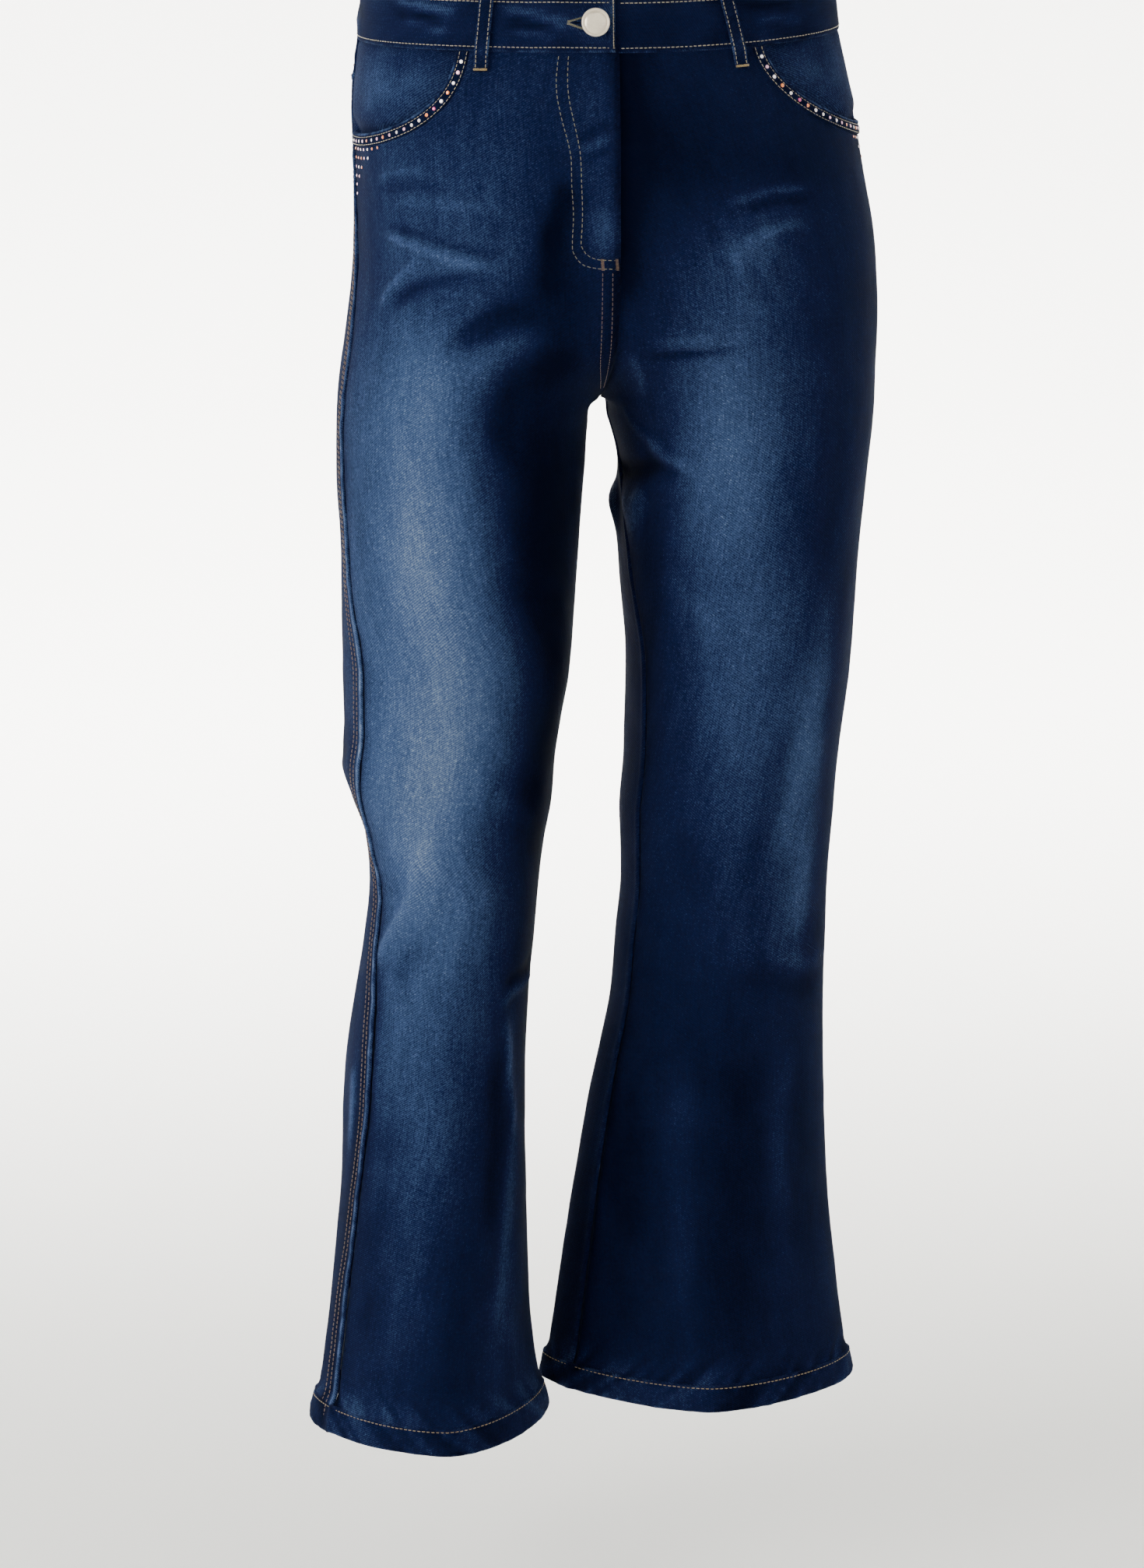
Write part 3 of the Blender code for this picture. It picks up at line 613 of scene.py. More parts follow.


# ---------------------------------------------------------------- the wash's fading of the cloth, with painted shade and painted light

# A soft spot's columns: distance from the outseam, level, half width, half height, and strength, which is
# negative on a darker place. Most spots are the wash; those marked below paint shade and light
FADE_AND_SHADE_SPOTS = {
    ("right", "front"): (
        (96, -210, 66, 46, 0.13), (86, -290, 58, 92, 0.31), (74, -400, 52, 100, 0.27),
        (60, -490, 44, 86, 0.28), (52, -580, 40, 76, 0.20), (36, -670, 40, 90, 0.11),
        # Painted light: the spot at (104, -94) brightens the hip where the key light falls strongest
        (104, -94, 90, 70, 0.14), (95, -122, 50, 13, 0.02), (108, -150, 50, 16, 0.10),
        (10, -430, 26, 190, 0.16), (205, -60, 16, 50, 0.10), (206, -132, 14, 18, 0.14),
        (40, -780, 30, 100, 0.08), (104, -700, 14, 60, -0.07), (128, -770, 8, 110, 0.12),
        # Painted shade: the spots at (172, -166) beside the fly, and at (158, -440) and (170, -300) on the
        # inner thigh, which turns away from the key light
        (114, -668, 6, 30, 0.14), (172, -166, 13, 44, -0.10), (158, -440, 38, 250, -0.19),
        (170, -300, 32, 80, -0.10),
    ),
    ("left", "front"): (
        (196, -235, 46, 72, 0.20), (180, -320, 44, 74, 0.16), (160, -410, 40, 64, 0.14),
        (142, -480, 36, 60, 0.13), (130, -560, 30, 54, 0.07), (172, -158, 44, 34, 0.08),
        (142, -118, 36, 12, 0.06), (104, -470, 14, 84, 0.22), (80, -566, 14, 54, 0.17),
        # Painted shade: the spots at (160, -90) and (214, -60) on the hip beside the fly, at (240, -390) on
        # the inner thigh that the right leg shades, and at (150, -780) on the lower leg
        (80, -740, 11, 60, 0.10), (150, -780, 10, 80, 0.07), (160, -90, 110, 34, -0.05),
        (214, -60, 40, 60, -0.07), (240, -390, 20, 160, -0.10), (150, -780, 120, 130, -0.08),
    ),
    ("right", "back"): (
        (130, -175, 64, 60, 0.15), (6, -430, 24, 200, 0.16), (110, -300, 50, 90, 0.20),
        (104, -420, 46, 80, 0.12), (60, -720, 14, 120, 0.07), (138, -740, 16, 120, 0.06),
        (22, -708, 5, 30, 0.18),
    ),
    ("left", "back"): (
        (130, -175, 64, 60, 0.15), (104, -300, 50, 90, 0.17), (100, -420, 46, 80, 0.12),
        (56, -720, 14, 120, 0.07), (136, -740, 16, 120, 0.06),
    ),
}
BASE_FADE = 0.14


def fade(side, panel, across, level):
    """How far the dye has worn, 0 raw indigo and 1 nearly white, with painted shade and painted light added
    in places.
    """
    seed = SEEDS[side, panel] + 300
    whole = ring_length(side, panel, level)
    inner = whole - across
    total = BASE_FADE + 0.03 * soft_noise(seed, across / 30, level / 60)
    total = total + 0.02 * soft_noise(seed + 1, across / 8, level / 22)
    for middle, height, wide, tall, strength in FADE_AND_SHADE_SPOTS[side, panel]:
        total = total + strength * np.exp(-(((across - middle) / wide) ** 2 + ((level - height) / tall) ** 2))
    # Ridges are lighter, as wear and painted light, and troughs are darker, as painted shade
    unworn = 1 - ease((total - 0.26) / 0.24)
    total = total + (0.016 + 0.052 * unworn) * np.clip(fold_relief(side, panel, across, level), -2, 2)
    # A seam's ridge is rubbed pale in patches, and beside its thick edge the dye stays dark
    worn = 0.5 + 0.5 * soft_noise(seed + 3, level / 5, across / 9)
    fading_in = ease((level + 20) / -30)
    if panel == "back":
        total = total + (0.16 + 0.34 * worn) * bell(across - 2.8, 1.8) * fading_in
        total = total - 0.08 * bell(across - 11, 7) + 0.08 * worn * bell(inner - 2.6, 2.0)
        # Painted shade: the back darkens towards its inseam below the crotch, where the inner leg is in shade
        total = total - 0.04 * bell(inner - 12, 16) * ease((CROTCH - level) / 30)
    else:
        total = total - 0.12 * bell(across, 4) - 0.10 * bell(inner, 5)
    # Painted shadow: the left front darkens beside the fly, in the shade of the right front's lap
    if (side, panel) == ("left", "front"):
        total = total - 0.20 * bell(inner - 2, 14) * ease((level + 190) / 40)
    # Rope marks beside the hem
    above_hem = level - HEM_TOP[side]
    ropes = soft_noise(seed + 5, (across + level) / 6, level / 30)
    total = total + (0.04 + 0.12 * ropes) * ease((24 - above_hem) / 24)
    return total


# ---------------------------------------------------------------- making meshes


def linear(value):
    return value / 12.92 if value <= 0.04045 else ((value + 0.055) / 1.055) ** 2.4


def hex_colour(text):
    """A colour's sRGB hex digits as linear red, green and blue."""
    return tuple(linear(int(text[i : i + 2], 16) / 255) for i in (0, 2, 4))


def add_mesh(name, points, faces, looks, attributes=None, smooth=True):
    """An object from points in millimetres. Attributes are numbers or vectors for each point."""
    mesh = bpy.data.meshes.new(name)
    mesh.from_pydata((np.asarray(points, float).reshape(-1, 3) * MM).tolist(), [], faces)
    for key, values in (attributes or {}).items():
        values = np.asarray(values, float)
        kind, slot = ("FLOAT_VECTOR", "vector") if values.shape[-1:] == (3,) else ("FLOAT", "value")
        mesh.attributes.new(key, kind, "POINT").data.foreach_set(slot, values.ravel())
    for look in looks:
        mesh.materials.append(look)
    if smooth:
        mesh.shade_smooth()
    made = bpy.data.objects.new(name, mesh)
    bpy.context.scene.collection.objects.link(made)
    return made


def grid_faces(rows, columns, closed_rows=False, closed_columns=False):
    """Quads over a grid of points, row by row."""
    index = np.arange(rows * columns).reshape(rows, columns)
    if closed_rows:
        index = np.vstack([index, index[:1]])
    if closed_columns:
        index = np.hstack([index, index[:, :1]])
    corners = (index[:-1, :-1], index[:-1, 1:], index[1:, 1:], index[1:, :-1])
    return np.stack([corner.ravel() for corner in corners], axis=1)


def facing_out(points, faces, inside):
    """The faces, turned over if they face towards a point inside the object."""
    corners = points.reshape(-1, 3)[faces]
    normal = np.cross(corners[:, 2] - corners[:, 0], corners[:, 3] - corners[:, 1])
    towards = np.einsum("ij,ij->i", normal, corners.mean(axis=1) - inside)
    return faces if towards.sum() > 0 else faces[:, ::-1]


def weave_at(across, along, cloth):
    """Where the weave lies at places on a piece. The third number keeps the pieces' patterns apart."""
    across, along = floats(across, along)
    return np.stack([across, along, np.full(across.shape, float(cloth))], axis=-1)


def cloth_sheet(node, points, weave, faded, inside, thickness=DENIM, keep=None, outer="washed"):
    """A sheet of cloth whose outer face is a grid of points, with its thickness behind it."""
    faces = facing_out(points, grid_faces(*points.shape[:2]), inside)
    if keep is not None:
        faces = faces[keep.ravel()]
    used, index = np.unique(faces, return_inverse=True)
    attributes = {"grain": weave.reshape(-1, 3)[used], "faded": faded.ravel()[used]}
    looks = [look(outer), look("reverse")]
    corners = index.reshape(faces.shape).tolist()
    made = add_mesh(node + "_cloth", points.reshape(-1, 3)[used], corners, looks, attributes)
    wall = made.modifiers.new("Thickness", "SOLIDIFY")
    wall.thickness, wall.offset, wall.material_offset = thickness * MM, -1.0, 1
    return made


def loft(name, points, look_name, weave, faded, closed=False):
    """A tube of cloth: rings of points one after another, with its ends shut unless they meet."""
    count, ring = points.shape[:2]
    faces = grid_faces(count, ring, closed_rows=closed, closed_columns=True).tolist()
    if not closed:
        faces.append(list(range(ring))[::-1])
        faces.append([(count - 1) * ring + i for i in range(ring)])
    made = add_mesh(name, points, faces, [look(look_name)], {"grain": weave, "faded": faded})
    if signed_volume(points.reshape(-1, 3), faces) < 0:
        made.data.flip_normals()
    return made


def signed_volume(points, faces):
    total = 0.0
    for face in faces:
        a = points[face[0]]
        for i in range(1, len(face) - 1):
            total += np.dot(a, np.cross(points[face[i]], points[face[i + 1]]))
    return total


def resample(line, pitch):
    """Points along a line at an even pitch that fits it, with the whole distance to each."""
    steps = np.linalg.norm(np.diff(line, axis=0), axis=1)
    along = np.concatenate([[0.0], np.cumsum(steps)])
    count = max(int(round(along[-1] / pitch)), 1)
    stops = np.linspace(0, along[-1], count + 1)
    return np.column_stack([np.interp(stops, along, line[:, k]) for k in range(line.shape[1])]), stops


def dressed(made, node):
    """Hangs a piece from the root, and hides the imported part that it stands in for, if any."""
    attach(made, "root")
    if node:
        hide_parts(node)
    return made


# ---------------------------------------------------------------- materials


def set_inputs(tree, node, inputs):
    """Sets or links inputs: numbers, colours, sockets, or nodes whose first output is meant."""
    for key, value in inputs.items():
        if isinstance(value, bpy.types.Node):
            value = value.outputs[0]
        if isinstance(value, bpy.types.NodeSocket):
            tree.links.new(value, node.inputs[key])
        else:
            node.inputs[key].default_value = value


def add_node(tree, kind, inputs=None, stops=(), **settings):
    """A shader node with its settings and links. Stops are a colour ramp's positions and linear colours."""
    node = tree.nodes.new(kind)
    for key, value in settings.items():
        setattr(node, key, value)
    set_inputs(tree, node, inputs or {})
    elements = node.color_ramp.elements if stops else ()
    while len(elements) < len(stops):
        elements.new(0.5)
    for element, (position, colour) in zip(elements, stops):
        element.position, element.color = position, (*colour, 1.0)
    return node


def new_material(name):
    """A fresh material, its node tree and its surface shader."""
    made = bpy.data.materials.new(name)
    made.use_nodes = True
    return made, made.node_tree, made.node_tree.nodes["Principled BSDF"]


def darker(colour, share):
    return tuple(value * share for value in colour)


def settings():
    return bpy.context.scene.jeans_cloth, bpy.context.scene.jeans_trim, bpy.context.scene.jeans_stage


TWILL_PITCH = 1.25  # mm from one diagonal rib to the next. The real one is near 0.6, too fine to show
SLUB_WIDE = 0.9  # mm, a thick place in a warp yarn
SLUB_LONG = 20.0
WAVE_UNIT = 0.31416  # the wave texture's own period
TWILL_SLANT = math.radians(58)
# How the cloth is uneven: size in mm, detail, roughness, and stretch along the warp
UNEVENNESS = {
    "slubs": (SLUB_WIDE, 2.0, 0.5, SLUB_WIDE / SLUB_LONG),
    "mottle": (7.0, 5.0, 0.62, 1.0),
    "specks": (1.1, 2.0, 0.7, 1.0),
    "clouds": (40.0, 3.0, 0.5, 1.0),
}


def denim(name, shift=0.0, contrast=1.0, reverse=False):
    """Stretch denim twill, indigo warp over white weft, stone washed.

    The wash takes the dye off the tops of the yarns first, so the eye gets dark cloth with a pale grain:
    diagonal ribs, streaks along the warp where a yarn is thick, and pale specks where the weft shows.
    """
    cloth = settings()[0]
    made, tree, shader = new_material(name)
    add = partial(add_node, tree)
    grain = add("ShaderNodeAttribute", attribute_name="grain").outputs["Vector"]
    # This attribute holds the wash's fading, with painted shade and painted light in places
    faded = add("ShaderNodeAttribute", attribute_name="faded").outputs["Fac"]
    turned = add("ShaderNodeMapping", {"Vector": grain, "Rotation": (0, 0, TWILL_SLANT)})
    ribs = {"Vector": turned, "Scale": WAVE_UNIT / TWILL_PITCH}
    ribs |= {"Distortion": 1.2, "Detail": 2.0, "Detail Scale": 1.5}
    twill = add("ShaderNodeTexWave", ribs, wave_profile="SIN").outputs["Fac"]
    uneven = {}
    for key, (size, detail, roughness, stretch) in UNEVENNESS.items():
        place = add("ShaderNodeMapping", {"Vector": grain, "Scale": (1.0, stretch, 1.0)})
        noise = {"Vector": place, "Scale": 1.0 / size, "Detail": detail, "Roughness": roughness}
        noise = add("ShaderNodeTexNoise", noise)
        uneven[key] = add("ShaderNodeMath", {0: noise, 1: 0.5}, operation="SUBTRACT")
    # Pale specks where the white weft shows between worn warp yarns
    uneven["weft"] = add("ShaderNodeMath", {0: uneven["specks"], 1: 0.17}, operation="GREATER_THAN")
    pattern = add("ShaderNodeMath", {0: twill, 1: 0.12, 2: -0.06}, operation="MULTIPLY_ADD")
    strengths = {"clouds": 0.03, "mottle": 0.07, "slubs": 0.19, "specks": 0.5, "weft": 0.10}
    for key, strength in strengths.items():
        pattern = add("ShaderNodeMath", {0: uneven[key], 1: strength, 2: pattern}, operation="MULTIPLY_ADD")
    # Unworn cloth is evenly dark, and the grain comes out as it fades
    base = add("ShaderNodeMath", {0: faded, 1: shift}, operation="ADD")
    shown = add("ShaderNodeMath", {0: base, 1: 1.6, 2: 0.4}, operation="MULTIPLY_ADD")
    shown = add("ShaderNodeMath", {0: shown, 1: 1.0}, operation="MINIMUM")
    shown = add("ShaderNodeMath", {0: shown, 1: contrast}, operation="MULTIPLY")
    total = add("ShaderNodeMath", {0: pattern, 1: shown, 2: base}, operation="MULTIPLY_ADD", use_clamp=True)
    dyes = (cloth.raw_indigo, cloth.dark_indigo, cloth.mid_blue, cloth.faded_blue)
    stops = tuple(zip((0.0, 0.22, 0.52, 1.0), map(tuple, dyes)))
    if reverse:
        stops = tuple(zip((0.0, 0.5, 1.0), map(hex_colour, ("3c4656", "6f7886", "a9aeb4"))))
    height = add("ShaderNodeMath", {0: twill, 1: 0.5}, operation="MULTIPLY")
    for key, strength in (("slubs", 0.8), ("specks", 0.7)):
        height = add("ShaderNodeMath", {0: uneven[key], 1: strength, 2: height}, operation="MULTIPLY_ADD")
    look_of_cloth = {
        "Base Color": add("ShaderNodeValToRGB", {"Fac": total}, stops),
        "Normal": add("ShaderNodeBump", {"Height": height, "Strength": 0.55, "Distance": 0.00035}),
        "Roughness": add("ShaderNodeMath", {0: uneven["mottle"], 1: 0.15, 2: 0.92}, operation="MULTIPLY_ADD"),
        "Sheen Weight": 0.02,
        "Sheen Roughness": 0.45,
        "Sheen Tint": (0.62, 0.74, 0.95, 1.0),
        "IOR": 1.22,
        "Specular IOR Level": 0.05,
    }
    set_inputs(tree, shader, look_of_cloth)
    return made


def thread(name, colour):
    """Corespun polyester thread, twisted from three plies and glazed.

    The twist gives each stitch short slanting highlights along its length, and painted shade darkens the
    grooves between its plies.
    """
    made, tree, shader = new_material(name)
    ply = add_node(tree, "ShaderNodeAttribute", attribute_name="ply").outputs["Vector"]
    wave = {"Vector": ply, "Scale": WAVE_UNIT / 0.9, "Distortion": 0.4}
    twist = add_node(tree, "ShaderNodeTexWave", wave, bands_direction="DIAGONAL").outputs["Fac"]
    # The ramp darkens the grooves between the plies: painted shade
    stops = ((0.0, darker(colour, 0.55)), (0.6, tuple(colour)))
    dyed_with_ply_shade = add_node(tree, "ShaderNodeValToRGB", {"Fac": twist}, stops)
    bump = add_node(tree, "ShaderNodeBump", {"Height": twist, "Strength": 0.5, "Distance": 0.0001})
    set_inputs(tree, shader, {"Base Color": dyed_with_ply_shade, "Normal": bump, "Roughness": 0.5, "Sheen Weight": 0.2})
    return made


def foiled_stone(name, colour, flash):
    """Cut glass with a foil back. The foil sends light back through flat facets, so each stone sparkles.

    A thin film on the glass lets another colour flash at a slant.
    """
    made, tree, shader = new_material(name)
    slant = add_node(tree, "ShaderNodeLayerWeight", {"Blend": 0.35}).outputs["Facing"]
    spread = add_node(tree, "ShaderNodeAttribute", attribute_name="ply").outputs["Fac"]
    mixed = add_node(tree, "ShaderNodeMath", {0: slant, 1: spread}, operation="ADD")
    stops = ((0.0, colour), (0.55, colour), (1.0, flash))
    glass = add_node(tree, "ShaderNodeValToRGB", {"Fac": mixed}, stops)
    gloss = {"Metallic": 0.45, "Roughness": 0.12, "Coat Weight": 1.0, "Coat Roughness": 0.02}
    set_inputs(tree, shader, {"Base Color": glass, **gloss})
    return made


def pearl_metal():
    """Zinc alloy, pressed, plated and tumbled to a pearly satin. It gives soft wide highlights."""
    made, tree, shader = new_material("satin_pearl_plated_metal")
    place = add_node(tree, "ShaderNodeTexCoord").outputs["Object"]
    grit = {"Vector": place, "Scale": 1500.0, "Detail": 3.0}  # tumbling marks of about 0.7 mm
    marks = add_node(tree, "ShaderNodeTexNoise", grit)
    colour = tuple(settings()[1].button)
    stops = ((0.3, darker(colour, 0.86)), (0.7, colour))
    plated = add_node(tree, "ShaderNodeValToRGB", {"Fac": marks}, stops)
    bump = add_node(tree, "ShaderNodeBump", {"Height": marks, "Strength": 0.25, "Distance": 0.00008})
    set_inputs(tree, shader, {"Base Color": plated, "Normal": bump, "Metallic": 0.45, "Roughness": 0.26})
    return made


def matte_paint(name, colour):
    """Emulsion paint, rolled on a smooth studio floor. It is matte, with the faintest unevenness."""
    made, tree, shader = new_material(name)
    place = add_node(tree, "ShaderNodeTexCoord").outputs["Object"]
    cloudy = add_node(tree, "ShaderNodeTexNoise", {"Vector": place, "Scale": 1.5})
    stops = ((0.35, darker(colour, 0.985)), (0.65, tuple(colour)))
    painted = add_node(tree, "ShaderNodeValToRGB", {"Fac": cloudy}, stops)
    set_inputs(tree, shader, {"Base Color": painted, "Roughness": 0.9, "Specular IOR Level": 0.1})
    return made


CLOTHS = {
    "washed": ("stone_washed_denim_twill", {}),
    "reverse": ("denim_twill_reverse", {"reverse": True}),
    "band": ("waistband_denim_twill", {"shift": -0.02, "contrast": 0.9}),
    "pocket_band": ("raw_denim_pocket_band", {"shift": -0.06, "contrast": 0.6}),
}
STONES = {
    "crystal": ("fff5fa", "d3aee0"),
    "rose": ("f2b6d0", "a672c8"),
    "amber": ("ea8238", "94401c"),
    "magenta": ("c2407e", "642c90"),
}


@lru_cache(maxsize=None)
def look(name):
    """Each material of cloth, glass or thread, made once."""
    if name in CLOTHS:
        material, options = CLOTHS[name]
        return denim(material, **options)
    if name in STONES:
        return foiled_stone(f"foiled_{name}_glass", *map(hex_colour, STONES[name]))
    return thread(name + "_corespun_thread", getattr(settings()[1], name + "_thread"))


# ---------------------------------------------------------------- panels

EDGE_STOPS = (0.0, 0.8, 1.7, 2.7, 3.8, 5.1, 6.6, 8.6)
UNDER = 1.8  # mm that an edge runs on under its neighbour


def column_shares(width, step):
    """Shares of the way across a panel, closer together beside its seams."""
    middle = np.linspace(EDGE_STOPS[-1], width - EDGE_STOPS[-1], max(int(width / step), 4))[1:-1]
    stops = np.concatenate([EDGE_STOPS, middle, width - np.array(EDGE_STOPS[::-1])])
    return stops / width


def panel_stops(side, panel, level, shares, before, after):
    """Distances from the outseam for rows of a panel, with the runs under its neighbours added."""
    start = GAP / 2
    end = inner_end(side, panel, level)
    ends = [inner_end(side, panel, limit) for limit in (TURN_END, TURN_TOP)]
    inside = (level > TURN_END) & (level < TURN_TOP)
    steady = np.where(inside, np.interp(level, (TURN_END, TURN_TOP), ends), end)
    stops = start + (steady - start) * shares + (end - steady) * shares**TURN_REACH
    if before:
        stops = np.hstack([stops[:, :1] - before, stops])
    if after:
        stops = np.hstack([stops, stops[:, -1:] + after])
    return stops


def panel_piece(node, side, panel, stops, levels, keep):
    points = surface(side, panel, stops, levels)
    inside = np.array([section(side, -400.0).crown * SIDES[side][1], 0.0, points[..., 2].mean()])
    weave = weave_at(stops, levels, 50 * SEEDS[side, panel])
    made = cloth_sheet(node, points, weave, fade(side, panel, stops, levels), inside, keep=keep)
    return dressed(made, node)


def scoop_edge(side, turn):
    """Distance from the outseam and level of the pocket mouth, at a turn of 0 (waist) to 90 (side)."""
    power = 2 / SCOOP_ROUND
    wide = SCOOP_WIDE[side] * np.cos(np.radians(turn)) ** power
    deep = SCOOP_DEEP * np.sin(np.radians(turn)) ** power
    return np.stack([wide, -WAIST_HALF - GAP - deep], axis=-1)


def scoop_line(side, pitch):
    """The pocket mouth at an even pitch, from the waist to the side seam."""
    line, _ = resample(scoop_edge(side, np.linspace(0, 90, 400)), pitch)
    return line


FRONT_STEP, BACK_STEP = 2.8, 3.2


def build_front(side):
    levels = np.arange(-WAIST_HALF + 3.0, HEM_TOP[side] - 4.0, -FRONT_STEP)[:, None]
    shares = column_shares(ring_length(side, "front", -300.0), FRONT_STEP)[None, :]
    stops = panel_stops(side, "front", levels, shares, UNDER, UNDER)
    levels = np.broadcast_to(levels, stops.shape).copy()
    # The pocket mouth is cut out of the grid, and the points beside it move onto its edge
    edge = scoop_line(side, 1.0)
    mouth = np.interp(-levels, -edge[:, 1], edge[:, 0])
    gone = (levels > SCOOP_LOW) & (stops < mouth)
    corner_gone = gone[:-1, :-1] & gone[1:, :-1] & gone[:-1, 1:] & gone[1:, 1:]
    flat = np.stack([stops, levels], axis=-1)
    for row, column in zip(*np.nonzero(gone)):
        place = flat[row, column]
        flat[row, column] = edge[np.argmin(((edge - place) ** 2).sum(axis=1))]
    rows = ring_length(side, "front", np.arange(HEM_TOP[side], SCOOP_LOW, 5.0))
    return panel_piece("front_" + side, side, "front", flat[..., 0], flat[..., 1], ~corner_gone)


def yoke_level(share):
    """The yoke's lower seam, by the share of the way from the outseam to the centre back."""
    return YOKE_SIDE + (YOKE_CENTRE - YOKE_SIDE) * share


def build_back(side):
    shares = column_shares(ring_length(side, "back", -300.0), BACK_STEP)[None, :]
    spread = np.linspace(0, 1, int((RISE_TOP_FRONT - YOKE_CENTRE) / -BACK_STEP))[:, None]
    top = yoke_level(shares) + 2.5
    sloped = top + (RISE_TOP_FRONT - top) * spread
    straight = np.arange(RISE_TOP_FRONT - BACK_STEP, HEM_TOP[side] - 4.0, -BACK_STEP)[:, None]
    levels = np.vstack([sloped, np.broadcast_to(straight, (len(straight), shares.shape[1]))])
    stops = panel_stops(side, "back", levels, shares, 0.0, 0.0)
    if side == "left":
        # Only in the centre plane does the left back run under the right one
        extra = stops[:, -1:] + UNDER * ease((levels[:, -1:] - CROTCH) / 6)
        extra = np.maximum(extra, stops[:, -1:] + 0.05)
        stops = np.hstack([stops, extra])
        levels = np.hstack([levels, levels[:, -1:]])
    rows = ring_length(side, "back", np.arange(HEM_TOP[side], (YOKE_SIDE + YOKE_CENTRE) / 2, 5.0))
    return panel_piece("back_" + side, side, "back", stops, levels, None)


def yoke_lift(across, from_edge):
    """How far the yoke stands above the back near its lower edge. It lies flatter at the side seam."""
    lift = 1.5 * ease((30 - from_edge) / 30) + 0.5 * bell(from_edge - 2.4, 1.8)
    return lift * (0.4 + 0.6 * ease((across - 3) / 18))


def build_yoke(side):
    shares = column_shares(ring_length(side, "back", -50.0), BACK_STEP)[None, :]
    down = np.concatenate([np.linspace(0, 0.85, 12), [0.9, 0.94, 0.97, 0.985, 1.0]])[:, None]
    top, bottom = -WAIST_HALF + 3.0, yoke_level(shares)
    levels = top + (bottom - top) * down
    stops = panel_stops(side, "back", levels, shares, 0.0, 0.0)
    if side == "left":
        stops = np.hstack([stops, stops[:, -1:] + UNDER])
        levels = np.hstack([levels, levels[:, -1:]])
    tall = top - yoke_level(np.clip(stops / ring_length(side, "back", levels), 0, 1))
    from_edge = (1 - down) * tall
    lift = yoke_lift(stops, from_edge) - 0.8 * ease((1.0 - from_edge) / 1.2)
    points = surface(side, "back", stops, levels, lift)
    grain = weave_at(stops, levels, 5000.0 + SEEDS[side, "back"])
    worn = 0.25 * bell(from_edge - 2.4, 1.8) * (0.6 + 0.4 * soft_noise(5, stops / 5, 0))
    faded = fade(side, "back", stops, levels) + worn
    inside = np.array([section(side, -50.0).crown * SIDES[side][1], 0.0, -50.0])
    made = cloth_sheet("yoke_" + side, points, grain, faded, inside)
    wide = float(ring_length(side, "back", -50.0)) * MM
    return dressed(made, "yoke_" + side)


def build_hip_piece(side):
    """The cloth behind the pocket mouth, which runs on inside the front and up behind the waistband."""
    inside = -(DENIM / 2 + HIP_PIECE_IN)
    levels = np.linspace(-WAIST_HALF + HIP_PIECE_UP, SCOOP_LOW - HIP_PIECE_TUCK, 34)[:, None]
    stops = np.linspace(-1.0, SCOOP_WIDE[side] + HIP_PIECE_TUCK, 48)[None, :]
    stops, levels = (a.copy() for a in np.broadcast_arrays(stops, levels))
    # In the mouth it swells out nearly flush with the front, and at the side it ends in the seam
    edge = scoop_line(side, 1.0)
    mouth = np.interp(-levels, -edge[:, 1], edge[:, 0])
    in_mouth = ease((mouth - stops) / 22) * ease((levels - SCOOP_LOW + 2) / 16)
    in_mouth = np.maximum(in_mouth, ease((9 - stops) / 7) * ease((levels - SCOOP_LOW + 6) / 6))
    swell = 4.6 * in_mouth + 0.45 * soft_noise(41, stops / 24, levels / 17) * ease(stops / 10)
    under_back = 1.3 * ease((2.0 - stops) / 2.6)
    under_band = 1.6 * ease((levels + WAIST_HALF + 4) / 6)
    points = smooth_surface(side, "front", stops, levels, inside + swell - under_back - under_band)
    grain = weave_at(stops, levels, 9100.0)
    pale = {"right": 0.14, "left": 0.07}[side]
    faded = 0.20 + pale * bell(stops - 54, 44) * bell(levels + 44, 20)
    faded = faded + 0.04 * soft_noise(43, stops / 14, levels / 9)
    inward = np.array([0.0, 40.0, -50.0])
    made = cloth_sheet("hip_piece_" + side, points, grain, faded, inward, TRIM)
    return dressed(made, "hip_piece_" + side)


HEM_RING = (
    # share of the way down the hem, height above the middle of the leg's wall
    (0.05, 1.6), (0.00, 2.7), (0.05, 3.5), (0.13, 3.3), (0.24, 3.6), (0.50, 4.2), (0.78, 4.4), (0.92, 4.1),
    (0.985, 3.2), (1.0, 1.7), (0.985, 0.2), (0.90, -0.7), (0.60, -1.2), (0.25, -1.3), (0.08, -1.1),
    (0.03, -0.4), (0.12, 0.6),
)


